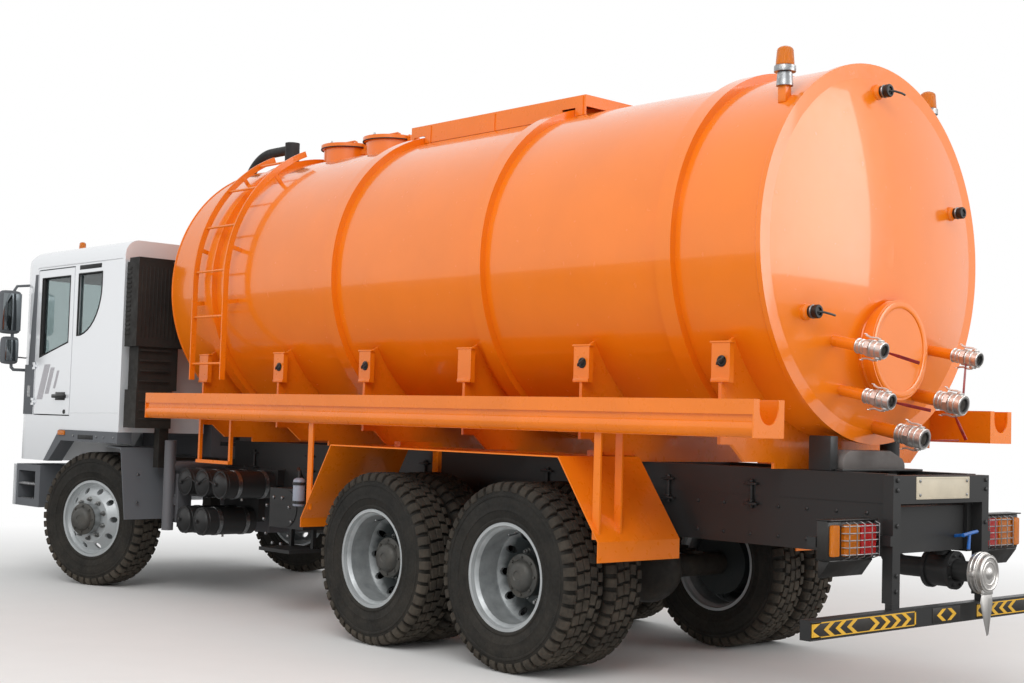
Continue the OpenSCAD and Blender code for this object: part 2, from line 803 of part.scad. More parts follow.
module cab_glass() color("lightblue", 0.4) {
    intersection() {
        glass_sheet();
        screen_cut();
    }
    both_sides() side_plate(cab_y - 18 - glass_t, cab_y - 18) quarter_window(0);
}

module door() {
    difference() {
        side_plate(cab_y - door_t, cab_y) door_outline(0);
        side_plate(cab_y - door_t - eps, cab_y + eps) door_window(0);
    }
    at_door_hinges() {
        hinge_leaf(-10 + seat_gap, 10 - seat_gap, -1);
        cylinder(r = door_pin_r, h = 58, center = true);
    }
}

module door_glass() side_plate(cab_y - 24 - glass_t, cab_y - 24) door_window(0);

module left_door() color("white") door();
module right_door() color("white") mirror([0, 1, 0]) door();
module left_door_glass() color("lightblue", 0.4) door_glass();
module right_door_glass() color("lightblue", 0.4) mirror([0, 1, 0]) door_glass();

module seats() color("dimgray") both_sides() {
    x = cab_rear_x + 200;
    span([x + 60, seat_in + 20, arch_z + wall + seat_gap], [x + 520, seat_out - 20, 1500]);
    span([x + 20, seat_in, 1500 - eps], [x + 560, seat_out, 1620]);
    span([x + 20, seat_in + 10, 1619], [x + 140, seat_out - 10, 2180]);
    span([x + 40, seat_in + 120, 2179], [x + 120, seat_out - 120, 2380]);
}

module dashboard() color("dimgray") {
    span([cab_nose_x - 420, -cab_y + 110, 1560], [cab_nose_x - 140, cab_y - 110, 1760]);
    span([cab_nose_x - 141, -cab_y + nose_corner, 1600],
        [cab_nose_x - wall - seat_gap, cab_y - nose_corner, 1720]);
    translate([cab_nose_x - 480, (seat_in + seat_out) / 2, 1750]) rotate([0, -30, 0]) {
        rotate_extrude() translate([215, 0]) circle(r = 16);
        translate([0, 0, -60]) cylinder(r = 60, h = 75);
        translate([-215, -18, -8]) cube([430, 36, 16]);
        translate([0, 0, -260]) cylinder(r = 32, h = 210);
    }
}

module mirrors() color("black") both_sides() {
    x = cab_nose_x - 130;
    corner = cab_y - nose_corner
        + sqrt(nose_corner * nose_corner - (x - 15 - cab_corner_x) * (x - 15 - cab_corner_x)) + seat_gap;
    span([x - 60, cab_y + 15, 2070], [x + 40, cab_y + 235, 2450]);
    span([x - 50, cab_y + 35, 1800], [x + 40, cab_y + 195, 2040]);
    span([x - 15, corner, 1740], [x + 15, cab_y + 110, 1770]);
    span([x - 15, cab_y + 80, 1741], [x + 15, cab_y + 110, 2090]);
}

module arch_trims() color("dimgray") both_sides()
    side_plate(cab_y - 120, cab_y + 8)
        polygon([[cab_rear_x, arch_z - 90], [cab_rear_x, arch_z - seat_gap],
            [axle1_x + 440, arch_z - seat_gap], [axle1_x + 709, sill_z - seat_gap],
            [axle1_x + 620, sill_z - seat_gap], [axle1_x + 400, arch_z - 90]]);

// ---------------------------------------------------------------- wheels

// Half section of a tyre, from the rim outwards, with rounded shoulders
module tyre_outline() {
    h = tyre_w / 2;
    shoulder = 45;
    difference() {
        union() {
            translate([rim_r - 20, -h + 30]) square([tyre_r - rim_r - 20, tyre_w - 60]);
            translate([rim_r + 30, -h]) square([tyre_r - rim_r - 30 - shoulder, tyre_w]);
            translate([tyre_r - shoulder - 10, -h + shoulder]) square([shoulder + 10, tyre_w - 2 * shoulder]);
            for (s = [-1, 1]) translate([tyre_r - shoulder, s * (h - shoulder)]) circle(r = shoulder);
            for (s = [-1, 1]) translate([rim_r + 30, s * (h - 30)]) circle(r = 30);
        }
        translate([0, -h - eps]) square([rim_r - 10, tyre_w + 2]);
    }
}

module tyre() rotate([90, 0, 0]) rotate_extrude($fn = 128) tyre_outline();

// Half section of a rim, radius as X; the disc's outer face is offset from the wheel's middle
module rim_outline(offset) {
    h = rim_w / 2;
    bead = rim_r - 10 - seat_gap;
    polygon([[rim_r - seat_gap, -h], [rim_r - seat_gap, -h + 9.7], [bead, -h + 9.7], [bead, h - 9.7],
        [rim_r - seat_gap, h - 9.7], [rim_r - seat_gap, h], [rim_r - 22, h], [well_r + 17, h - 25],
        [well_r, h - 45], [well_r, -h + 45], [well_r + 17, -h + 25], [rim_r - 22, -h]]);
    s = offset > 0 ? 1 : -1;
    disc = 14;
    root = s * (h - 45);
    polygon([[well_r + 4, root], [well_r + 4, root - s * disc * 1.2], [well_r - 6, root - s * disc * 1.2],
        [178, offset - s * disc], [0, offset - s * disc], [0, offset], [190, offset], [well_r - 6, root]]);
}

// Rim along Y about the wheel's middle, with hand holes in its disc
module rim(offset) rotate([-90, 0, 0]) difference() {
    rotate_extrude($fn = 128) rim_outline(offset);
    for (i = [0 : hand_holes - 1]) rotate([0, 0, i * 360 / hand_holes])
        translate([228, 0, -200]) cylinder(r = 24, h = 400, $fn = 32);
}

// Moves a left front wheel piece from the kingpin to its place, turned as it rests
module steered(side) translate([axle1_x, side * king_y, axle_z]) rotate([0, 0, steer_rest]) children();

module knuckle(side) steered(side) {
    reach = front_wheel_out + front_offset + 30;
    cylinder(r = kingpin_r, h = 192, center = true);
    for (z = [-96, 62]) translate([0, 0, z]) cylinder(r = 42, h = 34);
    translate([-42, side == left ? 50 : -86, -96]) cube([84, 36, 192]);
    for (z = [-96, 62]) translate([-42, side == left ? 0 : -60, z]) cube([84, 60, 34]);
    rotate([-90 * side, 0, 0]) translate([0, 0, 60]) cylinder(r = spindle_r, h = reach - 60);
    // steering arm, turned back and in
    translate([-190, side * 30 - 12, -96]) cube([160, 24, 26]);
}

module left_knuckle() color("dimgray") knuckle(left);
module right_knuckle() color("dimgray") knuckle(right);

module front_tyre(side) color("black") steered(side) translate([0, side * front_wheel_out, 0]) tyre();

// Rim, drum and hub of a front wheel; the spindle runs in the hub
module front_rim(side) color("silver") steered(side) mirror([0, side == left ? 0 : 1, 0])
    translate([0, front_wheel_out, 0]) difference() {
        union() {
            rim(front_offset);
            rotate([-90, 0, 0]) {
                translate([0, 0, front_offset - 20]) cylinder(r = hub_r, h = 90);
                translate([0, 0, front_offset - 190]) cylinder(r = drum_r - 15, h = 180);
            }
        }
        rotate([-90, 0, 0]) translate([0, 0, -200]) cylinder(r = spindle_r + 0.05, h = 200 + front_offset + 31);
    }

module pair_tyres(x, side) color("black")
    for (i = [0, 1]) translate([x, side * (outer_y - i * dual_pitch), axle_z]) tyre();

// Both rims of a rear pair, with the drum and the hub that they are bolted to
module pair_rims(x, side) color("silver") translate([x, 0, axle_z]) mirror([0, side == left ? 0 : 1, 0])
    difference() {
        union() {
            translate([0, outer_y, 0]) rim(-dual_pitch / 2);
            translate([0, outer_y - dual_pitch, 0]) rim(dual_pitch / 2);
            translate([0, face_y, 0]) rotate([-90, 0, 0]) {
                cylinder(r = hub_r, h = 140);
                translate([0, 0, -225]) cylinder(r = drum_r, h = 215);
            }
        }
        translate([0, face_y, 0]) rotate([-90, 0, 0]) translate([0, 0, -250])
            cylinder(r = tube_r + 0.05, h = 341);
        translate([0, face_y, 0]) rotate([-90, 0, 0]) translate([0, 0, -250])
            cylinder(r = 75.5, h = 10);
    }

place() frame();
place() subframe();
place() tank_saddles();
place() engine();
place() axles();
place() leaf_springs();
place() air_tanks();
place() fuel_tank();
place() exhaust();
place() intake_stack();
place() tank();
place() walkway();
place() manway_cover();
place() outlet_pipes();
place() couplings();
place() hose_trays();
place() rear_mudguards();
place() ladder();
place() pump_set();
place() vacuum_pipe();
place() rear_frame();
place() tail_lamps();
place() underrun_bar();
place() drain_valve();
place() front_bumper();
place() cab_steps();
place() front_mudguards();
place() cab_shell();
place() cab_roof();
place() cab_glass();
place() seats();
place() dashboard();
place() mirrors();
place() arch_trims();
place() left_door();
place() right_door();
place() left_door_glass();
place() right_door_glass();
place() hatch_lid(hatch_x[0]);  // front_hatch_lid
place() hatch_lid(hatch_x[1]);  // rear_hatch_lid
place() left_knuckle();
place() right_knuckle();
place() front_tyre(left);  // front_left_tyre
place() front_rim(left);  // front_left_rim
place() front_tyre(right);  // front_right_tyre
place() front_rim(right);  // front_right_rim
place() pair_tyres(axle2_x, left);  // middle_left_tyres
place() pair_rims(axle2_x, left);  // middle_left_rims
place() pair_tyres(axle2_x, right);  // middle_right_tyres
place() pair_rims(axle2_x, right);  // middle_right_rims
place() pair_tyres(axle3_x, left);  // rear_left_tyres
place() pair_rims(axle3_x, left);  // rear_left_rims
place() pair_tyres(axle3_x, right);  // rear_right_tyres
place() pair_rims(axle3_x, right);  // rear_right_rims
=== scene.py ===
"""Looks of a three-axle vacuum tanker truck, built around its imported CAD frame.

Most places are read from the frame's nodes. Lengths are metres, +X forwards, +Y to the left, +Z up.
"""

import json
import logging
import math
from dataclasses import dataclass, field
from enum import Enum

import bpy
from mathutils import Matrix, Vector


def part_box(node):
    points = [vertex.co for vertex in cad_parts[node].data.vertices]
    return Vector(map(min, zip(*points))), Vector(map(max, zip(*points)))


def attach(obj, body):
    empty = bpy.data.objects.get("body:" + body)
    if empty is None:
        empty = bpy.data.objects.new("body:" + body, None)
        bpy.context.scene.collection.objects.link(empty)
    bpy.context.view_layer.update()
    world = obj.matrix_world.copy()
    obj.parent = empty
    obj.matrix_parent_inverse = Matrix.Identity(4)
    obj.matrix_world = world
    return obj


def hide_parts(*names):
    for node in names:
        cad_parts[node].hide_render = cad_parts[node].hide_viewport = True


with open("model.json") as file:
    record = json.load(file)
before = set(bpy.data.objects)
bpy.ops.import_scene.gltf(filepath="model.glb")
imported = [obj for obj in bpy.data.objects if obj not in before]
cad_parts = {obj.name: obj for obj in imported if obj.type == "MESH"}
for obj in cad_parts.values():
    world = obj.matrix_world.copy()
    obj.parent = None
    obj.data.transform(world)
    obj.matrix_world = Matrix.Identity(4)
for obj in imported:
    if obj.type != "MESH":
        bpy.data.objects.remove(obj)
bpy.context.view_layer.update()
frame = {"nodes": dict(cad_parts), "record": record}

log = logging.getLogger("tanker")
Colour = tuple[float, float, float]
SIDES = (1, -1)
WORDS = {1: "left", -1: "right"}
STEER = math.radians(18)
FRONT_AXLE_X = 2.875
REAR_AXLES_X = (-0.985, -2.215)


# ---------------------------------------------------------------- modelling steps


def only(*objects: bpy.types.Object) -> None:
    """Selects these objects alone and makes the first one active."""
    bpy.ops.object.select_all(action="DESELECT")
    for obj in objects:
        obj.select_set(True)
    bpy.context.view_layer.objects.active = objects[0]


def settled(name: str) -> bpy.types.Object:
    """Names the active object and moves its place into its mesh.

    Args:
        name: The piece's name.

    Returns:
        The object, at the origin.
    """
    obj = bpy.context.view_layer.objects.active
    obj.name = obj.data.name = name
    only(obj)
    bpy.ops.object.transform_apply(location=True, rotation=True, scale=True)
    return obj


def modified(obj: bpy.types.Object, kind: str, **settings) -> bpy.types.Object:
    """Adds a modifier and applies it.

    Args:
        obj: The piece.
        kind: The modifier's type.
        settings: The modifier's own settings.

    Returns:
        The same piece.
    """
    only(obj)
    modifier = obj.modifiers.new(kind.lower(), kind)
    for key, value in settings.items():
        setattr(modifier, key, value)
    bpy.ops.object.modifier_apply(modifier=modifier.name)
    return obj


def softened(obj: bpy.types.Object, width: float, segments: int = 2) -> bpy.types.Object:
    """Rounds the sharp edges of a piece, by a width in metres."""
    return modified(obj, "BEVEL", width=width, segments=segments, limit_method="ANGLE", angle_limit=0.6)


def block(name: str, low: Vector, high: Vector, edge: float = 0.004) -> bpy.types.Object:
    """A box with rounded edges.

    Args:
        name: The piece's name.
        low: Its lowest corner.
        high: Its highest corner.
        edge: Width of the rounding, or 0 for none.

    Returns:
        The box.
    """
    low, high = Vector(low), Vector(high)
    bpy.ops.mesh.primitive_cube_add(size=1, location=(low + high) / 2)
    bpy.context.view_layer.objects.active.scale = high - low
    obj = settled(name)
    return softened(obj, edge) if edge else obj


def rod(name: str, start: Vector, end: Vector, radius: float, sides: int = 20, edge: float = 0.0,
        tip: float | None = None) -> bpy.types.Object:
    """A round bar between two points.

    Args:
        name: The piece's name.
        start: Middle of its first face.
        end: Middle of its last face.
        radius: Its radius at the start.
        sides: Number of flats round it.
        edge: Width of the rounding of its rims.
        tip: Its radius at the end, where that differs.

    Returns:
        The bar.
    """
    start, end = Vector(start), Vector(end)
    along = end - start
    bpy.ops.mesh.primitive_cone_add(
        vertices=sides, radius1=radius, radius2=radius if tip is None else tip, depth=along.length,
        location=(start + end) / 2, rotation=along.to_track_quat("Z", "Y").to_euler())
    obj = settled(name)
    return softened(obj, edge) if edge else obj


def ring(name: str, centre: Vector, axis: Vector, radius: float, thick: float, sides: int = 48,
         minor: int = 10) -> bpy.types.Object:
    """A torus round an axis.

    Args:
        name: The piece's name.
        centre: Its middle.
        axis: The direction that it goes round.
        radius: From its middle to the middle of its section.
        thick: Radius of its section.
        sides: Number of steps round it.
        minor: Number of steps round its section.

    Returns:
        The torus.
    """
    bpy.ops.mesh.primitive_torus_add(
        major_radius=radius, minor_radius=thick, major_segments=sides, minor_segments=minor,
        location=centre, rotation=Vector(axis).to_track_quat("Z", "Y").to_euler())
    return settled(name)


class Plane(Enum):
    """The plane that a flat outline is drawn in, and the columns of its axes."""

    SIDE = "XZ"
    CROSS = "YZ"
    FLOOR = "XY"

    def point(self, a: float, b: float, depth: float) -> Vector:
        """The point at a and b in the plane, at a depth across it."""
        if self is Plane.SIDE:
            return Vector((a, depth, b))
        if self is Plane.CROSS:
            return Vector((depth, a, b))
        return Vector((a, b, depth))


def from_outline(name: str, points: list, faces: list, edges: list | None = None) -> bpy.types.Object:
    """A new mesh object from its points, linked to the scene and made active."""
    mesh = bpy.data.meshes.new(name)
    mesh.from_pydata([tuple(p) for p in points], edges or [], faces)
    obj = bpy.data.objects.new(name, mesh)
    bpy.context.scene.collection.objects.link(obj)
    only(obj)
    return obj


def edited(obj: bpy.types.Object, *steps) -> bpy.types.Object:
    """Runs edit-mode steps on all of a piece, merges its doubles and turns its faces outwards."""
    only(obj)
    bpy.ops.object.mode_set(mode="EDIT")
    bpy.ops.mesh.select_all(action="SELECT")
    for step in steps:
        step()
    bpy.ops.mesh.select_all(action="SELECT")
    bpy.ops.mesh.remove_doubles(threshold=0.00005)
    bpy.ops.mesh.normals_make_consistent(inside=False)
    bpy.ops.object.mode_set(mode="OBJECT")
    return obj


def plate(name: str, plane: Plane, outline: list, low: float, high: float, edge: float = 0.0) -> bpy.types.Object:
    """A flat outline extruded across its plane.

    Args:
        name: The piece's name.
        plane: The plane of the outline.
        outline: Its corners, in order.
        low: Where the extrusion starts.
        high: Where it ends.
        edge: Width of the rounding of its edges.

    Returns:
        The plate.
    """
    obj = from_outline(name, [plane.point(a, b, low) for a, b in outline], [range(len(outline))])
    shift = plane.point(0, 0, high - low)
    edited(obj, lambda: bpy.ops.mesh.extrude_region_move(TRANSFORM_OT_translate={"value": shift}))
    return softened(obj, edge) if edge else obj


def turned(name: str, outline: list, centre: Vector, axis: Vector, steps: int = 48) -> bpy.types.Object:
    """A half section spun round an axis.

    Args:
        name: The piece's name.
        outline: Points of (distance along the axis, radius), in order.
        centre: The axis's zero point.
        axis: Its direction.
        steps: Number of steps round it.

    Returns:
        The turned piece.
    """
    points = [(r, 0, a) for a, r in outline]
    edges = [(i, i + 1) for i in range(len(points) - 1)]
    obj = from_outline(name, points, [], edges)
    edited(obj, lambda: bpy.ops.mesh.spin(steps=steps, angle=math.tau, center=(0, 0, 0), axis=(0, 0, 1)))
    return placed(obj, centre, axis)


def placed(obj: bpy.types.Object, centre: Vector, axis: Vector) -> bpy.types.Object:
    """Turns a piece from +Z to an axis and moves it to a centre, in its mesh."""
    turn = Vector(axis).to_track_quat("Z", "Y").to_matrix().to_4x4()
    obj.data.transform(Matrix.Translation(centre) @ turn)
    return obj


def joined(name: str, pieces: list) -> bpy.types.Object:
    """Joins pieces into one object with this name."""
    only(*pieces)
    if len(pieces) > 1:
        bpy.ops.object.join()
    pieces[0].name = pieces[0].data.name = name
    return pieces[0]


def copied(obj: bpy.types.Object, name: str, change: Matrix) -> bpy.types.Object:
    """A copy of a piece with its own mesh, moved by a matrix; a mirrored copy's faces are turned back."""
    twin = obj.copy()
    twin.data = obj.data.copy()
    twin.name = twin.data.name = name
    bpy.context.scene.collection.objects.link(twin)
    twin.data.transform(change)
    if change.determinant() < 0:
        twin.data.flip_normals()
    return twin


def across(obj: bpy.types.Object, name: str) -> bpy.types.Object:
    """The same piece on the other side of the truck."""
    return copied(obj, name, Matrix.Scale(-1, 4, (0, 1, 0)))


def swept(name: str, points: list, radius: float, sides: int = 3) -> bpy.types.Object:
    """A bent round bar through points, with closed ends."""
    data = bpy.data.curves.new(name, "CURVE")
    data.dimensions = "3D"
    data.bevel_depth = radius
    data.bevel_resolution = sides
    data.use_fill_caps = True
    spline = data.splines.new("POLY")
    spline.points.add(len(points) - 1)
    for knot, p in zip(spline.points, points):
        knot.co = (*p, 1)
    obj = bpy.data.objects.new(name, data)
    bpy.context.scene.collection.objects.link(obj)
    only(obj)
    bpy.ops.object.convert(target="MESH")
    return edited(bpy.context.view_layer.objects.active)


def arc(centre: tuple, radius: float, start: float, end: float, steps: int) -> list:
    """Points along an arc in its plane, with angles in degrees."""
    angles = [math.radians(start + (end - start) * i / steps) for i in range(steps + 1)]
    return [(centre[0] + radius * math.cos(a), centre[1] + radius * math.sin(a)) for a in angles]


# ---------------------------------------------------------------- finishes


class Nodes:
    """A material's node tree, with short ways to add and join nodes."""

    def __init__(self, name: str) -> None:
        """Starts a material with one Principled shader on Object coordinates."""
        self.material = bpy.data.materials.new(name)
        self.material.use_nodes = True
        self.tree = self.material.node_tree
        self.shader = self.tree.nodes["Principled BSDF"]
        self.place = self.add("ShaderNodeTexCoord").outputs["Object"]

    def add(self, kind: str, **settings) -> bpy.types.Node:
        """Adds a node; settings named after inputs set or link them."""
        node = self.tree.nodes.new(kind)
        for key, value in settings.items():
            name = key.replace("_", " ")
            if name in node.inputs or name.title() in node.inputs:
                self.set(node.inputs[name if name in node.inputs else name.title()], value)
            else:
                setattr(node, key, value)
        return node

    def set(self, socket: bpy.types.NodeSocket, value) -> None:
        """Links a socket, or gives it a plain value."""
        if isinstance(value, bpy.types.NodeSocket):
            self.tree.links.new(value, socket)
        else:
            socket.default_value = value

    def noise(self, scale: float, detail: float = 3.0, rough: float = 0.55, place=None):
        """A noise pattern's value, from 0 to 1."""
        return self.add("ShaderNodeTexNoise", Vector=place or self.place, Scale=scale, Detail=detail,
                        Roughness=rough).outputs["Fac"]

    def level(self, value, low: float, high: float, out_low: float = 0.0, out_high: float = 1.0):
        """Maps a value from one range to another, held at its ends."""
        node = self.add("ShaderNodeMapRange")
        for i, v in enumerate((value, low, high, out_low, out_high)):
            self.set(node.inputs[i], v)
        return node.outputs[0]

    def math(self, operation: str, a, b=0.0):
        """One arithmetic step."""
        node = self.add("ShaderNodeMath", operation=operation)
        self.set(node.inputs[0], a)
        self.set(node.inputs[1], b)
        return node.outputs[0]

    def mix(self, share, a, b):
        """A colour between two colours."""
        node = self.add("ShaderNodeMix", data_type="RGBA")
        self.set(node.inputs[0], share)
        for socket, value in ((node.inputs[6], a), (node.inputs[7], b)):
            self.set(socket, value if isinstance(value, bpy.types.NodeSocket) else (*value, 1))
        return node.outputs[2]

    def axes(self):
        """The X, Y and Z of a point on the piece."""
        return self.add("ShaderNodeSeparateXYZ", Vector=self.place).outputs

    def bump(self, height, depth: float, strength: float = 1.0) -> None:
        """Raises the surface by a height pattern, times a depth in metres."""
        node = self.add("ShaderNodeBump", Height=height, Distance=depth, Strength=strength)
        self.set(self.shader.inputs["Normal"], node.outputs["Normal"])


@dataclass(frozen=True)
class Finish:
    """A painted or bare surface with colour drift, grain and dust."""

    name: str
    slot: str
    colour: Colour
    roughness: float = 0.4
    metal: float = 0.0
    coat: float = 0.0
    sheen: float = 0.5
    drift: float = 0.08
    drift_scale: float = 2.0
    grain: float = 0.0
    grain_scale: float = 200.0
    dust: float = 0.0
    dust_colour: Colour = (0.30, 0.25, 0.19)
    dust_top: float = 1.3

    def make(self) -> bpy.types.Material:
        """Builds the material once, and gives the same one after that."""
        known = bpy.data.materials.get(self.name)
        if known:
            return known
        nodes = Nodes(self.name)
        shader = nodes.shader.inputs
        shader["Metallic"].default_value = self.metal
        shader["Coat Weight"].default_value = self.coat
        shader["Specular IOR Level"].default_value = self.sheen
        shader["Coat Roughness"].default_value = 0.04
        drift = nodes.noise(self.drift_scale, 4)
        darker = tuple(c * (1 - 2 * self.drift) for c in self.colour)
        colour = nodes.mix(nodes.level(drift, 0.35, 0.65), darker, self.colour)
        colour = self.pattern(nodes, colour)
        rough = nodes.level(nodes.noise(self.drift_scale * 9, 5), 0.3, 0.7,
                            max(self.roughness * 0.8, 0.02), self.roughness * 1.25)
        if self.dust:
            height = nodes.level(nodes.axes()["Z"], 0.0, self.dust_top, 1.0, 0.0)
            share = nodes.math("MULTIPLY", height, nodes.level(nodes.noise(7, 8, 0.7), 0.32, 0.72, 0.15, 1.0))
            share = nodes.math("MULTIPLY", share, self.dust)
            colour = nodes.mix(share, colour, self.dust_colour)
            rough = nodes.math("ADD", rough, nodes.math("MULTIPLY", share, 0.5))
        nodes.set(shader["Base Color"], colour)
        nodes.set(shader["Roughness"], rough)
        self.relief(nodes)
        return nodes.material

    def pattern(self, nodes: Nodes, colour):
        """Draws the finish's own pattern over its colour; a plain finish has none."""
        return colour

    def relief(self, nodes: Nodes) -> None:
        """Gives the surface its grain."""
        if self.grain:
            nodes.bump(nodes.noise(self.grain_scale, 4), self.grain)


@dataclass(frozen=True)
class BarrelPaint(Finish):
    """Gloss paint on rolled plate, with faint waves where the plate was rolled and welded."""

    def relief(self, nodes: Nodes) -> None:
        """Long soft waves round the barrel under a fine orange peel."""
        waves = nodes.noise(1.6, 2)
        peel = nodes.math("MULTIPLY", nodes.noise(260, 2), 0.02)
        nodes.bump(nodes.math("ADD", waves, peel), 0.004)


@dataclass(frozen=True)
class CastMetal(Finish):
    """Cast or worn bare metal, brighter where hands and hoses rub it."""

    rubbed: Colour = (0.85, 0.84, 0.82)

    def pattern(self, nodes: Nodes, colour):
        """Bright rubbed patches."""
        return nodes.mix(nodes.level(nodes.noise(38, 6, 0.7), 0.5, 0.68, 0.0, 0.7), colour, self.rubbed)


@dataclass(frozen=True)
class TreadRubber(Finish):
    """Tyre rubber, paler with road dust, with fine scuffs."""

    def relief(self, nodes: Nodes) -> None:
        """Coarse scuffs and a fine grain."""
        scuffs = nodes.math("MULTIPLY", nodes.noise(60, 6, 0.7), 1.0)
        nodes.bump(nodes.math("ADD", scuffs, nodes.noise(420, 2)), 0.0008)


@dataclass(frozen=True)
class Weave(Finish):
    """Woven seat cloth with a fine rib."""

    pitch: float = 0.004

    def relief(self, nodes: Nodes) -> None:
        """Threads along two axes of the cloth."""
        x, y, z = nodes.axes()
        turn = math.tau / self.pitch
        rows = nodes.math("SINE", nodes.math("MULTIPLY", nodes.math("ADD", x, z), turn))
        columns = nodes.math("SINE", nodes.math("MULTIPLY", y, turn))
        nodes.bump(nodes.math("MULTIPLY", rows, columns), 0.0006)


@dataclass(frozen=True)
class Clear(Finish):
    """Glass or clear plastic that light goes through."""

    through: float = 1.0
    ior: float = 1.45
    ribs: float = 0.0

    def make(self) -> bpy.types.Material:
        """Builds a clear material with faint smears, and ribs where a lens has them."""
        known = bpy.data.materials.get(self.name)
        if known:
            return known
        nodes = Nodes(self.name)
        shader = nodes.shader.inputs
        shader["Transmission Weight"].default_value = self.through
        shader["IOR"].default_value = self.ior
        smear = nodes.noise(5, 5, 0.7)
        darker = tuple(c * 0.9 for c in self.colour)
        nodes.set(shader["Base Color"], nodes.mix(smear, darker, self.colour))
        nodes.set(shader["Roughness"], nodes.level(smear, 0.3, 0.7, self.roughness, self.roughness + 0.05))
        if self.ribs:
            wave = nodes.math("SINE", nodes.math("MULTIPLY", nodes.axes()["Y"], math.tau / self.ribs))
            grid = nodes.math("SINE", nodes.math("MULTIPLY", nodes.axes()["Z"], math.tau / self.ribs))
            nodes.bump(nodes.math("ADD", wave, grid), 0.0008)
        return nodes.material


@dataclass(frozen=True)
class RimPaint(Finish):
    """Wheel paint, bright on the flange, with painted shade of the dished centre towards the hub, measured from the
    wheel's own axle.
    """

    centre: Colour = (0.0, 0.0, 0.0)
    axle: Colour = (0.0, 1.0, 0.0)
    # dark colour of the painted shade in the wheel's dish
    grime: Colour = (0.035, 0.045, 0.048)
    unshaded_from: float = 0.285

    def pattern(self, nodes: Nodes, colour):
        """Painted shade of the dish: dark inside a radius about the axle."""
        offset = nodes.add("ShaderNodeVectorMath", operation="SUBTRACT")
        nodes.set(offset.inputs[0], nodes.place)
        offset.inputs[1].default_value = self.centre
        along = nodes.add("ShaderNodeVectorMath", operation="DOT_PRODUCT")
        nodes.set(along.inputs[0], offset.outputs[0])
        along.inputs[1].default_value = self.axle
        reach = nodes.add("ShaderNodeVectorMath", operation="DOT_PRODUCT")
        nodes.set(reach.inputs[0], offset.outputs[0])
        nodes.set(reach.inputs[1], offset.outputs[0])
        flat = nodes.math("SUBTRACT", reach.outputs["Value"], nodes.math("POWER", along.outputs["Value"], 2.0))
        radius = nodes.math("SQRT", nodes.math("MAXIMUM", flat, 0.0))
        wander = nodes.math("MULTIPLY", nodes.math("SUBTRACT", nodes.noise(14, 4), 0.5), 0.05)
        share = nodes.level(nodes.math("ADD", radius, wander), self.unshaded_from - 0.06, self.unshaded_from)
        return nodes.mix(share, self.grime, colour)


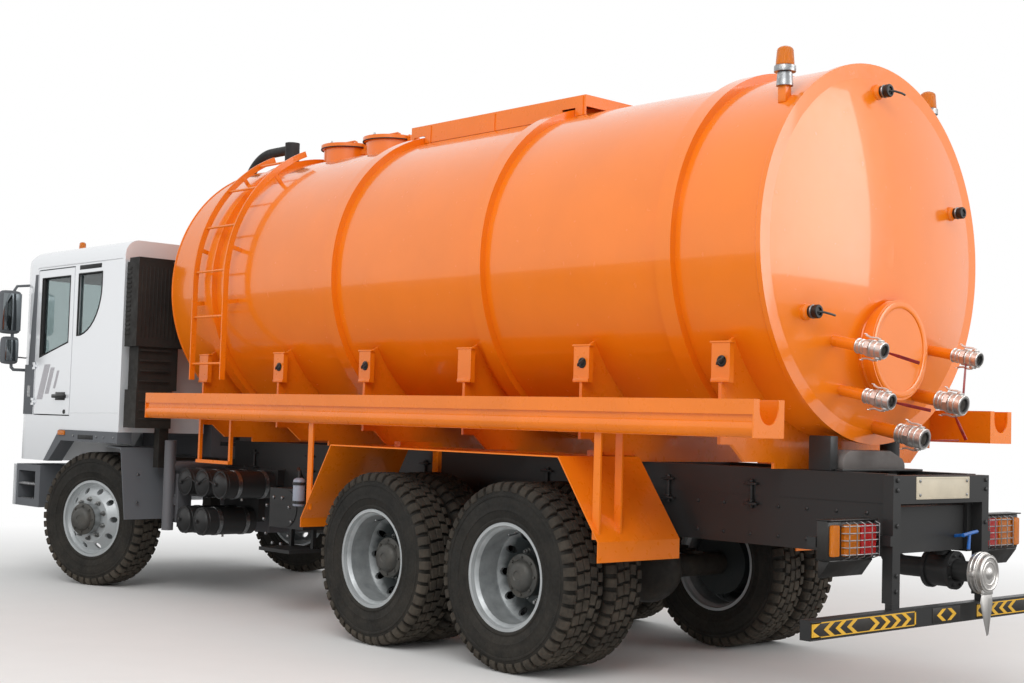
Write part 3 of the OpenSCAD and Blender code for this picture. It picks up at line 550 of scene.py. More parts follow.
class Paint:
    """Every finish on the truck."""

    BARREL = BarrelPaint("barrel_orange", "tank_orange", (0.90, 0.205, 0.004), 0.22, coat=0.6, drift=0.03)
    GEAR = Finish("gear_orange", "tank_orange", (0.88, 0.205, 0.004), 0.30, coat=0.3, drift=0.05, grain=0.0004,
                  dust=0.05, dust_top=1.2)
    CAB = Finish("cab_white", "cab_white", (0.80, 0.82, 0.84), 0.22, coat=1.0, drift=0.02, grain=0.00015,
                 grain_scale=320, dust=0.10, dust_top=1.6)
    STRIPE = Finish("cab_grey_shape", "cab_white", (0.40, 0.39, 0.42), 0.3, coat=0.6, drift=0.05)
    CHASSIS = Finish("chassis_black", "chassis_black", (0.010, 0.009, 0.008), 0.40, sheen=0.25, drift=0.2,
                     grain=0.0006, grain_scale=120, dust=0.10)
    AXLE = Finish("axle_black", "chassis_black", (0.014, 0.013, 0.012), 0.5, sheen=0.25, drift=0.2, grain=0.001,
                  grain_scale=80, dust=0.25, dust_top=1.0)
    TRIM = Finish("trim_grey", "trim_grey", (0.060, 0.068, 0.074), 0.55, sheen=0.3, drift=0.1, grain=0.0004,
                  grain_scale=500, dust=0.2)
    INTAKE = Finish("intake_plastic", "trim_grey", (0.018, 0.017, 0.016), 0.6, sheen=0.3, drift=0.2, grain=0.0005,
                    grain_scale=350, dust=0.15, dust_top=3.0)
    TYRE = TreadRubber("tyre_rubber", "tyre", (0.017, 0.017, 0.016), 0.72, sheen=0.2, drift=0.15, drift_scale=6,
                       dust=0.12, dust_top=1.6)
    TREAD = TreadRubber("tread_rubber", "tyre", (0.022, 0.020, 0.018), 0.85, sheen=0.2, drift=0.15, drift_scale=12,
                        dust=0.35, dust_top=1.8)
    RIM = Finish("rim_silver", "rim_silver", (0.46, 0.48, 0.48), 0.36, metal=0.35, drift=0.08, drift_scale=5,
                 grain=0.0004, dust=0.25, dust_top=1.2)
    HUB = Finish("hub_iron", "rim_silver", (0.075, 0.078, 0.075), 0.45, metal=0.3, drift=0.2, drift_scale=12,
                 grain=0.0006, dust=0.35, dust_top=1.2)
    NUT = CastMetal("wheel_nut", "rim_silver", (0.33, 0.33, 0.32), 0.35, metal=1.0, drift=0.2, drift_scale=30)
    ALLOY = CastMetal("coupling_alloy", "coupling_alloy", (0.36, 0.33, 0.29), 0.36, metal=1.0, drift=0.15,
                      drift_scale=25, grain=0.0008, grain_scale=160, rubbed=(0.60, 0.57, 0.52))
    STEEL = CastMetal("bare_steel", "steel_grey", (0.34, 0.35, 0.36), 0.36, metal=1.0, drift=0.1,
                      drift_scale=10, grain=0.0005, grain_scale=90, dust=0.2)
    FUEL_ALLOY = Finish("fuel_tank_alloy", "steel_grey", (0.50, 0.52, 0.54), 0.30, metal=0.9, drift=0.06,
                        drift_scale=4, grain=0.0003, grain_scale=140, dust=0.12)
    IRON = CastMetal("engine_iron", "engine_iron", (0.10, 0.10, 0.10), 0.55, metal=0.6, drift=0.2,
                     grain=0.0015, grain_scale=60, rubbed=(0.22, 0.21, 0.20), dust=0.3)
    GLASS = Clear("window_glass", "glass", (0.50, 0.58, 0.58), 0.02)
    RUBBER = Finish("seal_rubber", "black_rubber", (0.018, 0.018, 0.018), 0.6, drift=0.15, grain=0.0003,
                    grain_scale=400)
    PLASTIC = Finish("dash_plastic", "dash_plastic", (0.06, 0.062, 0.068), 0.6, drift=0.08, grain=0.0005,
                     grain_scale=600)
    CLOTH = Weave("seat_cloth", "seat_cloth", (0.13, 0.14, 0.17), 0.9, drift=0.15, drift_scale=30)
    PIPING = Finish("seat_piping", "seat_cloth", (0.03, 0.03, 0.035), 0.7, drift=0.1, grain=0.0002)
    MIRROR = Finish("mirror_glass", "trim_grey", (0.20, 0.22, 0.23), 0.05, metal=1.0, drift=0.01)
    RED_LENS = Clear("red_lens", "lamp_lens", (0.85, 0.02, 0.02), 0.08, through=0.35, ribs=0.006)
    AMBER_LENS = Clear("amber_lens", "lamp_lens", (1.0, 0.27, 0.01), 0.08, through=0.35, ribs=0.006)
    CLEAR_LENS = Clear("clear_lens", "lamp_lens", (0.93, 0.95, 0.96), 0.05, through=0.6, ribs=0.01)
    YELLOW = Finish("sign_yellow", "lamp_lens", (0.83, 0.46, 0.015), 0.35, drift=0.08, drift_scale=9, dust=0.25)
    SIGN = Finish("sign_black", "chassis_black", (0.012, 0.012, 0.012), 0.35, drift=0.2, dust=0.15)
    PLATE = Finish("plate_cream", "cab_white", (0.62, 0.55, 0.42), 0.4, drift=0.06, drift_scale=6, dust=0.2)
    RED = Finish("lever_red", "lamp_lens", (0.33, 0.012, 0.01), 0.35, coat=0.4, drift=0.2, drift_scale=30)
    BLUE = Finish("lever_blue", "steel_grey", (0.012, 0.13, 0.48), 0.35, coat=0.4, drift=0.15, drift_scale=30)
    GREY_BLOCK = Finish("block_grey", "steel_grey", (0.17, 0.15, 0.14), 0.55, drift=0.15, grain=0.0005)
    SEPARATOR = Finish("separator_white", "steel_grey", (0.30, 0.34, 0.42), 0.35, coat=0.3, drift=0.1, dust=0.4)


@dataclass
class Assembly:
    """A group of pieces on one or more bodies."""

    body: str = "chassis"
    pieces: list = field(default_factory=list)

    def keep(self, obj: bpy.types.Object, finish: Finish, body: str = "", smooth: float = 0.6) -> bpy.types.Object:
        """Finishes a piece and makes it ride on its body.

        Args:
            obj: The piece.
            finish: Its finish.
            body: Its body, where that isn't the assembly's own.
            smooth: The angle up to which its faces shade as one, in radians.

        Returns:
            The same piece.
        """
        obj.data.materials.clear()
        obj.data.materials.append(finish.make())
        only(obj)
        bpy.ops.object.shade_smooth_by_angle(angle=smooth)
        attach(obj, body or self.body)
        self.pieces.append(obj.name)
        return obj

    def both(self, obj: bpy.types.Object, finish: Finish, bodies: tuple = (), smooth: float = 0.6) -> None:
        """Keeps a left piece and its twin on the right."""
        name = obj.name
        twin = across(obj, "right_" + name)
        obj.name = obj.data.name = "left_" + name
        self.keep(obj, finish, bodies[0] if bodies else "", smooth)
        self.keep(twin, finish, bodies[1] if bodies else "", smooth)

    def report(self) -> None:
        """Logs what was made."""
        log.info("%s: %d pieces: %s", type(self).__name__, len(self.pieces), ", ".join(self.pieces))


def corners(node: str) -> tuple:
    """A CAD node's lowest and highest corners at rest, as vectors."""
    low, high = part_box(node)
    return Vector(low), Vector(high)


def about(point: Vector, axis: Vector) -> Matrix:
    """The matrix that takes a piece made about +Z at the origin to an axis through a point."""
    return Matrix.Translation(point) @ Vector(axis).to_track_quat("Z", "Y").to_matrix().to_4x4()


# ---------------------------------------------------------------- wheels


@dataclass
class Wheel:
    """One wheel body: where its tyres' middles are, and the way that its axle points outwards."""

    name: str
    tyre_node: str
    middles: list
    axle: Vector
    disc: float

    @property
    def outer(self) -> Vector:
        """Middle of the outermost tyre."""
        return self.middles[0]


def wheels() -> list:
    """Every wheel body, read from the tyre nodes."""
    found = []
    for place in ("front", "middle", "rear"):
        for side, word in WORDS.items():
            single = place == "front"
            node = f"{place}_{word}_tyre" + ("" if single else "s")
            low, high = corners(node)
            centre = (low + high) / 2
            if single:
                turn = Matrix.Rotation(STEER, 3, "Z")
                found.append(Wheel(f"{place}_{word}_wheel", node, [centre], turn @ Vector((0, side, 0)),
                                   Wheels.disc_front))
                continue
            half = Wheels.width / 2
            edge = high.y if side > 0 else -low.y
            inner = low.y if side > 0 else -high.y
            spots = [Vector((centre.x, side * (edge - half), centre.z)),
                     Vector((centre.x, side * (inner + half), centre.z))]
            found.append(Wheel(f"{place}_{word}_wheel", node, spots, Vector((0, side, 0)),
                               Wheels.disc_rear))
    return found


@dataclass
class Wheels(Assembly):
    """Tyres with a block tread, and the nuts, hub caps and valves of the rims."""

    width: float = 0.290
    radius: float = 0.540
    bead: float = 0.303
    lugs: int = 44
    block_h: float = 0.022
    disc_front: float = 0.14
    disc_rear: float = -0.146
    nuts: int = 10
    nut_circle: float = 0.157
    hub_r: float = 0.120
    hub_front: float = 0.210
    hub_rear: float = -0.020

    def carcass(self) -> bpy.types.Object:
        """The tyre's body about +Z, with a bead, a bulged sidewall and two raised rings."""
        half, bead, base = self.width / 2, self.bead, self.radius - self.block_h + 0.003
        side = [(half - 0.030, bead), (half - 0.013, bead + 0.010), (half - 0.010, bead + 0.022),
                (half - 0.015, bead + 0.032), (half - 0.008, bead + 0.055), (half - 0.004, bead + 0.072),
                (half - 0.001, bead + 0.074), (half - 0.001, bead + 0.082), (half - 0.002, bead + 0.084),
                (half, bead + 0.105), (half - 0.002, bead + 0.135), (half - 0.005, bead + 0.150),
                (half - 0.002, bead + 0.153), (half - 0.002, bead + 0.163), (half - 0.007, bead + 0.167),
                (half - 0.011, bead + 0.185), (half - 0.022, bead + 0.203), (half - 0.045, base - 0.003),
                (0.040, base)]
        mirrored = [(-a, r) for a, r in reversed(side)]
        return turned("carcass", side + mirrored + side[:1], (0, 0, 0), (0, 0, 1), 96)

    def tread(self) -> bpy.types.Object:
        """All tread blocks about +Z, from one pitch of five ribs that is spun round."""
        top, base, half = self.radius - 0.001, self.radius - self.block_h - 0.004, self.width / 2
        pitch = math.tau / self.lugs
        stagger = Matrix.Rotation(pitch / 2, 4, "Z")
        flip = Matrix.Scale(-1, 4, (0, 0, 1))
        shoulder = [(base, 0.086), (top, 0.084), (top, 0.108), (top - 0.010, half - 0.016),
                    (top - 0.036, half - 0.003), (top - 0.056, half - 0.006), (base - 0.030, half - 0.024)]
        inner = [(base, 0.031), (top, 0.029), (top, 0.076), (base, 0.078)]
        centre = [(base, -0.023), (top, -0.021), (top, 0.021), (base, 0.023)]
        outer_lug = softened(plate("lug", Plane.SIDE, shoulder, -0.025, 0.025), 0.0035, 1)
        inner_lug = softened(plate("rib", Plane.SIDE, inner, -0.029, 0.029), 0.003, 1)
        inner_lug.data.transform(Matrix.Rotation(math.radians(9), 4, "X"))
        middle_lug = softened(plate("middle", Plane.SIDE, centre, -0.031, 0.031), 0.003, 1)
        pieces = [outer_lug, copied(outer_lug, "lug_b", stagger @ flip), copied(inner_lug, "rib_b", stagger),
                  copied(inner_lug, "rib_c", flip), copied(middle_lug, "middle_b", stagger)]
        for spare in (inner_lug, middle_lug):
            bpy.data.objects.remove(spare)
        obj = joined("tread", pieces)
        count = self.lugs - 1
        return edited(obj, lambda: bpy.ops.mesh.spin(
            steps=count, dupli=True, angle=pitch * count, center=(0, 0, 0), axis=(0, 0, 1)))

    def nut(self) -> bpy.types.Object:
        """One wheel nut on its stud and washer, standing on the plane z = 0."""
        hexagon = rod("nut", (0, 0, 0.003), (0, 0, 0.024), 0.0185, 6, 0.0015, 0.0175)
        washer = rod("washer", (0, 0, 0), (0, 0, 0.005), 0.021, 16, 0.001)
        stud = rod("stud", (0, 0, 0.02), (0, 0, 0.036), 0.0100, 12, 0.0015)
        return joined("nut", [hexagon, washer, stud])

    def fitted(self, wheel: Wheel, nut: bpy.types.Object) -> None:
        """Nuts, hub cap and valve of one wheel."""
        place = about(wheel.outer, wheel.axle)
        ring_of_nuts = []
        for i in range(self.nuts):
            spot = Matrix.Rotation(math.tau * (i + 0.5) / self.nuts, 4, "Z") @ Matrix.Translation(
                (self.nut_circle, 0, wheel.disc))
            ring_of_nuts.append(copied(nut, f"nut_{i}", place @ spot))
        self.keep(joined(f"{wheel.name}_nuts", ring_of_nuts), Paint.NUT, wheel.name, 0.5)
        end = self.hub_front if wheel.disc > 0 else self.hub_rear
        cap = turned("cap", [(-0.004, self.hub_r + 0.006), (0.010, self.hub_r + 0.006), (0.014, self.hub_r),
                             (0.014, 0.094), (0.030, 0.088), (0.046, 0.076), (0.052, 0.060), (0.052, 0.030),
                             (0.047, 0.026), (0.047, 0.0001)], (0, 0, end), (0, 0, 1), 40)
        bolts = [rod(f"bolt_{i}", (0.107 * math.cos(a), 0.107 * math.sin(a), end + 0.012),
                     (0.107 * math.cos(a), 0.107 * math.sin(a), end + 0.023), 0.0085, 6, 0.001)
                 for i in range(8) for a in [math.tau * i / 8]]
        hub = joined(f"{wheel.name}_hub_cap", [cap, *bolts])
        hub.data.transform(place)
        self.keep(hub, Paint.HUB, wheel.name)
        sign = 1 if wheel.disc > 0 else -1
        valve = joined(f"{wheel.name}_valve", [
            swept("stem", [(0, 0.262, 0.020 * sign), (0, 0.240, 0.050), (0, 0.236, 0.085)], 0.004),
            rod("valve_cap", (0, 0.236, 0.083), (0, 0.236, 0.102), 0.0062, 10, 0.001)])
        valve.data.transform(place)
        self.keep(valve, Paint.STEEL, wheel.name)

    def build(self) -> None:
        """Makes a tyre and a tread once and copies them to all ten places."""
        carcass, tread, nut = self.carcass(), self.tread(), self.nut()
        for wheel in wheels():
            for i, spot in enumerate(wheel.middles):
                part = "" if len(wheel.middles) == 1 else ("_outer", "_inner")[i]
                body = copied(carcass, f"{wheel.name}{part}_tyre", about(spot, wheel.axle))
                self.keep(body, Paint.TYRE, wheel.name)
                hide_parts(wheel.tyre_node)
                self.keep(copied(tread, f"{wheel.name}{part}_tread", about(spot, wheel.axle)),
                          Paint.TREAD, wheel.name, 0.4)
            self.fitted(wheel, nut)
            rim_node = frame["nodes"][wheel.tyre_node.replace("tyre", "rim")]
            # the dark centre is painted shade of the dish, reaching nearly to the flange on the deeply dished rear
            # wheels
            paint = RimPaint(f"rim_{wheel.name}", "rim_silver", (0.52, 0.55, 0.56), 0.34, metal=0.3, drift=0.07,
                             drift_scale=5, grain=0.0004, dust=0.12, dust_top=1.2, centre=tuple(wheel.outer),
                             axle=tuple(wheel.axle), unshaded_from=0.285 if wheel.disc < 0 else 0.145)
            rim_node.data.materials[0] = paint.make()
        for spare in (carcass, tread, nut):
            bpy.data.objects.remove(spare)


# ---------------------------------------------------------------- tank and its gear


@dataclass
class TankGear(Assembly):
    """Beacons, small valves, weld beads, pads and hatch fittings on the barrel."""

    barrel_r: float = 1.035
    head_rise: float = 0.120
    beacon_y: float = 0.70
    beacon_in: float = 0.23
    beacon_rise: float = 0.10

    def __post_init__(self) -> None:
        """Reads the barrel's place from its node."""
        low, high = corners("tank")
        self.low, self.high = low, high
        self.axis_z = low.z + (high.y - low.y) / 2
        self.seam = low.x + self.head_rise
        self.dome = (self.barrel_r ** 2 + self.head_rise ** 2) / (2 * self.head_rise)

    def skin_z(self, y: float) -> float:
        """Height of the barrel's top at a distance across the truck."""
        return self.axis_z + math.sqrt(self.barrel_r ** 2 - y * y)

    def head_x(self, y: float, z: float) -> float:
        """Where the rear head is at a point across and up."""
        reach = y * y + (z - self.axis_z) ** 2
        return self.low.x + self.dome - math.sqrt(self.dome ** 2 - reach)

    def beacon(self, name: str, foot: Vector, body: str = "chassis", size: float = 1.0) -> None:
        """An amber beacon on a silver base: a ribbed dome over a plate.

        Args:
            name: Start of its pieces' names.
            foot: Where it stands.
            body: The body that it rides on.
            size: Its scale.
        """
        base = turned(f"{name}_base", [(-0.03 * size, 0.001), (-0.03 * size, 0.045 * size),
                                       (0.04 * size, 0.040 * size), (0.045 * size, 0.058 * size),
                                       (0.075 * size, 0.058 * size), (0.080 * size, 0.050 * size),
                                       (0.080 * size, 0.001)], foot, (0, 0, 1), 28)
        self.keep(base, Paint.STEEL, body)
        dome = [(0.078, 0.046), (0.084, 0.050), (0.160, 0.044)]
        dome += [(0.160 + 0.024 * math.sin(t), 0.044 * math.cos(t)) for t in (0.35, 0.8, 1.2, 1.5)]
        dome = [(a * size, max(r, 0.0004) * size) for a, r in dome]
        lens = turned(f"{name}_lens", [(0.078 * size, 0.001), *dome], foot, (0, 0, 1), 28)
        self.keep(lens, Paint.AMBER_LENS, body)

    def small_valve(self, name: str, y: float, z: float, size: float, lever: bool) -> None:
        """A threaded plug on a boss of the rear head, with or without a lever."""
        spot = Vector((self.head_x(y, z), y, z))
        boss = turned(f"{name}_boss", [(-0.02, 0.001), (-0.02, size * 1.25), (0.012, size * 1.2),
                                       (0.022, size * 0.95), (0.030, size * 0.95), (0.030, 0.001)],
                      spot, (-1, 0, 0), 24)
        self.keep(boss, Paint.GEAR)
        plug = turned(f"{name}_plug", [(0.028, 0.001), (0.028, size * 0.9), (0.060, size * 0.9),
                                       (0.063, size), (0.082, size), (0.086, size * 0.9),
                                       (0.086, size * 0.62), (0.078, size * 0.55), (0.078, 0.001)],
                      spot, (-1, 0, 0), 24)
        self.keep(plug, Paint.SIGN)
        self.keep(ring(f"{name}_band", spot - Vector((0.048, 0, 0)), (1, 0, 0), size * 0.9, size * 0.14),
                  Paint.STEEL)
        if lever:
            out = spot - Vector((0.072, 0, 0))
            arm = swept(f"{name}_lever", [out, out + Vector((-0.03, -0.02, -0.004)),
                                          out + Vector((-0.05, -0.055, -0.012)),
                                          out + Vector((-0.05, -0.085, -0.016))], 0.006)
            self.keep(arm, Paint.HUB)

    def beads(self) -> None:
        """Weld beads at the barrel's end seams and the manway's neck, and the cover's raised rim."""
        low, high = corners("manway_cover")
        seams = [ring(f"seam_{i}", (x, 0, self.axis_z), (1, 0, 0), self.barrel_r + 0.001, 0.006, 128, 6)
                 for i, x in enumerate((self.seam + 0.018, self.high.x - 0.138))]
        neck = (low + high) / 2
        face_x = self.head_x(0, neck.z)
        seams.append(ring("neck", (face_x - 0.004, 0, neck.z), (1, 0, 0), (high.z - low.z) / 2 - 0.014, 0.007, 64, 6))
        self.keep(joined("weld_beads", seams), Paint.GEAR)
        rim = (high.z - low.z) / 2
        cover = turned("manway_rim", [(0.0, rim - 0.012), (0.004, rim - 0.012), (0.006, rim - 0.018),
                                      (0.006, rim - 0.040), (0.004, rim - 0.046), (0.0, rim - 0.046)],
                       (low.x + 0.0005, 0, neck.z), (-1, 0, 0), 72)
        self.keep(cover, Paint.BARREL)

    def pads(self) -> None:
        """A cap plate and a strip at every saddle pad, with an eye and a hook on most of them; each eye is a black cup
        that is painted shade of its hole.
        """
        low, high = corners("tank_saddles")
        count = 6
        pad_half, pad_low, pad_high = 0.060, 1.655, 1.860
        first, last = low.x + pad_half, high.x - pad_half
        for i in range(count):
            x = first + (last - first) * i / (count - 1)
            cap = block("cap", (x - pad_half - 0.012, high.y - 0.035, pad_high),
                        (x + pad_half + 0.012, high.y + 0.004, pad_high + 0.010), 0.002)
            strip = plate("strip", Plane.SIDE, [(x - pad_half, pad_low), (x + pad_half, pad_low),
                                                (x + pad_half, pad_low + 0.02), (x, pad_low + 0.028),
                                                (x - pad_half, pad_low + 0.02)],
                          high.y - 0.002, high.y + 0.005, 0.001)
            self.both(joined(f"pad_{i}_cap", [cap, strip]), Paint.GEAR)
            if i in (2, 5):
                continue
            # the eye's hole is a shallow black cup, painted shade of the hole
            eye = turned(f"pad_{i}_eye", [(0.0, 0.030), (0.004, 0.030), (0.005, 0.022), (0.001, 0.018), (0.001, 0.001)],
                         (x - 0.008, high.y, 1.765), (0, 1, 0), 24)
            self.both(eye, Paint.SIGN)
            hook = swept(f"pad_{i}_hook", [(x - 0.008 + 0.022 * math.sin(t), high.y + 0.012 + 0.008 * math.cos(t),
                                            1.768 - 0.026 * t / 2) for t in (-1.6, -0.8, 0, 0.8, 1.6)], 0.006)
            self.both(hook, Paint.HUB)

    def hatches(self) -> None:
        """Clamp bolts round each lid, a handle across it and a seal under it."""
        for word in ("front", "rear"):
            body = f"{word}_hatch_lid"
            low, high = corners(body)
            lid_r = (high.y - low.y) / 2
            x, top = high.x - lid_r, high.z
            bar = swept(f"{word}_lid_handle", [(x - 0.09, 0, top - 0.014), (x - 0.085, 0, top + 0.020),
                                               (x - 0.06, 0, top + 0.030), (x + 0.06, 0, top + 0.030),
                                               (x + 0.085, 0, top + 0.020), (x + 0.09, 0, top - 0.014)], 0.008)
            self.keep(bar, Paint.GEAR, body)
            clamps = []
            for i in range(5):
                a = math.radians(-100 + 50 * i)
                out = Vector((math.cos(a), math.sin(a), 0))
                spot = Vector((x, 0, low.z + 0.028)) + out * (lid_r - 0.020)
                clamps += [rod("dog", spot - Vector((0, 0, 0.004)), spot + Vector((0, 0, 0.010)), 0.016, 6, 0.002),
                           rod("bolt", spot, spot + Vector((0, 0, 0.024)), 0.007, 10, 0.001)]
            self.keep(joined(f"{word}_lid_dogs", clamps), Paint.STEEL, body)
            self.keep(ring(f"{word}_lid_lip", (x, 0, low.z + 0.004), (0, 0, 1), lid_r - 0.002, 0.005, 64, 8),
                      Paint.RUBBER, body)

    def deck(self) -> None:
        """Raised diamonds on the walkway."""
        low, high = corners("walkway")
        deck_z = high.z - 0.040
        points, faces = [], []
        rows, columns = 9, 34
        for row in range(rows):
            for column in range(columns):
                x = low.x + 0.04 + (high.x - low.x - 0.08) * column / (columns - 1)
                y = -0.25 + 0.5 * row / (rows - 1)
                turn = 1 if (row + column) % 2 else -1
                start = len(points)
                points += [(x - 0.013, y - turn * 0.013, 0), (x + 0.004, y - turn * 0.004, 0),
                           (x + 0.013, y + turn * 0.013, 0), (x - 0.004, y + turn * 0.004, 0), (x, y, 0.003)]
                faces += [(start + a, start + b, start + 4) for a, b in ((0, 1), (1, 2), (2, 3), (3, 0))]
        points = [(x, y, z + deck_z) for x, y, z in points]
        self.keep(edited(from_outline("walkway_tread", points, faces)), Paint.GEAR)

    def build(self) -> None:
        """Makes all the tank's small gear."""
        for side, word in WORDS.items():
            y = side * self.beacon_y
            foot = Vector((self.seam + self.beacon_in - 0.12, y, self.skin_z(y) + self.beacon_rise))
            self.keep(block(f"{word}_beacon_post", foot - Vector((0.026, 0.026, self.beacon_rise + 0.02)),
                            foot + Vector((0.026, 0.026, -0.024)), 0.005), Paint.GEAR)
            self.beacon(f"{word}_beacon", foot)
        self.small_valve("top_valve", 0.05, 3.29, 0.036, True)
        self.small_valve("left_valve", 0.70, 2.03, 0.036, True)
        self.small_valve("right_valve", -0.68, 2.70, 0.034, False)
        self.beads()
        self.pads()
        self.hatches()
        self.deck()


@dataclass
class Outlets(Assembly):
    """Rings, cam arms, gaskets and red levers on the five couplings."""

    length: float = 0.165

    def __post_init__(self) -> None:
        """Reads the couplings' mouths from the record's mounts."""
        self.mounts = [m for m in frame["record"]["mounts"] if m["name"].endswith("coupling")]

    def dress_one(self, mount: dict) -> None:
        """The small parts of one coupling, made about +Z with its mouth at z = 0."""
        name = mount["name"]
        bore = mount["dims"]["r_mm"] / 1000
        outer = bore + (0.012 if bore < 0.035 else 0.017)
        place = about(Vector(mount["pos_m"]), Vector(mount["axis"]))
        start = -self.length
        rings = [ring("lip", (0, 0, z), (0, 0, 1), outer - 0.006 + grow, 0.0045, 36, 8)
                 for z, grow in ((start + 0.006, 0.001), (start + 0.030, 0), (start + 0.052, 0), (-0.070, 0.006),
                                 (-0.040, 0.006), (-0.004, 0.004))]
        flats = turned("nut", [(start + 0.058, outer - 0.004), (start + 0.060, outer + 0.004),
                               (start + 0.086, outer + 0.004), (start + 0.088, outer - 0.004)],
                       (0, 0, 0), (0, 0, 1), 8)
        arms = []
        for side in SIDES:
            low, high = (outer - 0.004, outer + 0.010) if side > 0 else (-outer - 0.010, -outer + 0.004)
            arms.append(plate("ear", Plane.SIDE, [(-0.014, -0.050), (0.014, -0.050), (0.017, -0.034), (0.012, -0.018),
                                                  (-0.012, -0.018), (-0.017, -0.034)], low, high, 0.002))
            arms.append(swept("cam", [(0, side * (outer + 0.012), -0.034), (0, side * (outer + 0.017), -0.060),
                                      (0, side * (outer + 0.013), -0.095), (0, side * (outer + 0.020), -0.125)],
                              0.0055))
            arms.append(ring("pull", (0, side * (outer + 0.026), -0.131), (0, 1, 0), 0.009, 0.0018, 16, 6))
        metal = joined(f"{name}_rings", [*rings, flats, *arms])
        gasket = turned(f"{name}_gasket", [(-0.012, bore - 0.006), (-0.002, bore - 0.004), (0.001, bore + 0.004),
                                           (-0.002, bore + 0.008), (-0.012, bore + 0.002), (-0.012, bore - 0.006)],
                        (0, 0, 0), (0, 0, 1), 32)
        for piece, finish in ((metal, Paint.ALLOY), (gasket, Paint.RUBBER)):
            piece.data.transform(place)
            self.keep(piece, finish)

    def lever(self, name: str, start: Vector, run: Vector, flat: Vector) -> None:
        """A flat red handle from a spindle on a coupling.

        Args:
            name: The piece's name.
            start: The spindle's end.
            run: From the spindle to the grip's end.
            flat: The direction that its flat side faces.
        """
        start, run, flat = Vector(start), Vector(run), Vector(flat).normalized()
        side = run.cross(flat).normalized() * 0.009
        outline = [start - side * 0.6, start + run * 0.3 - side, start + run - side, start + run + side,
                   start + run * 0.3 + side, start + side * 0.6]
        thick = flat * 0.005
        count = len(outline)
        points = [p - thick / 2 for p in outline] + [p + thick / 2 for p in outline]
        faces = [tuple(range(count)), tuple(range(2 * count - 1, count - 1, -1))]
        faces += [(i, (i + 1) % count, (i + 1) % count + count, i + count) for i in range(count)]
        obj = softened(edited(from_outline(name, points, faces)), 0.0015)
        self.keep(obj, Paint.RED)

    def build(self) -> None:
        """Dresses all five couplings and hangs their levers."""
        for mount in self.mounts:
            self.dress_one(mount)
        mouths = {m["name"]: Vector(m["pos_m"]) for m in self.mounts}
        # columns: coupling, spindle from the mouth, run of the handle, flat side
        for name, start, run, flat in (
                ("upper_left_coupling", (0.004, -0.046, -0.008), (-0.150, -0.045, -0.050), (0, 1, -0.3)),
                ("lower_left_coupling", (0.004, -0.046, -0.004), (-0.165, -0.060, -0.036), (0, 1, -0.3)),
                ("upper_right_coupling", (0.055, 0.052, -0.020), (-0.012, 0.045, -0.190), (1, 0, 0)),
                ("lower_right_coupling", (0.050, 0.004, -0.062), (-0.060, -0.010, -0.125), (0, 1, 0)),
                ("bottom_coupling", (0.004, -0.058, -0.004), (-0.130, -0.070, 0.004), (0, 0.3, 1))):
            spot = mouths[name]
            self.lever(name.replace("coupling", "lever"), spot + Vector(start), run, flat)


# ---------------------------------------------------------------- rear end


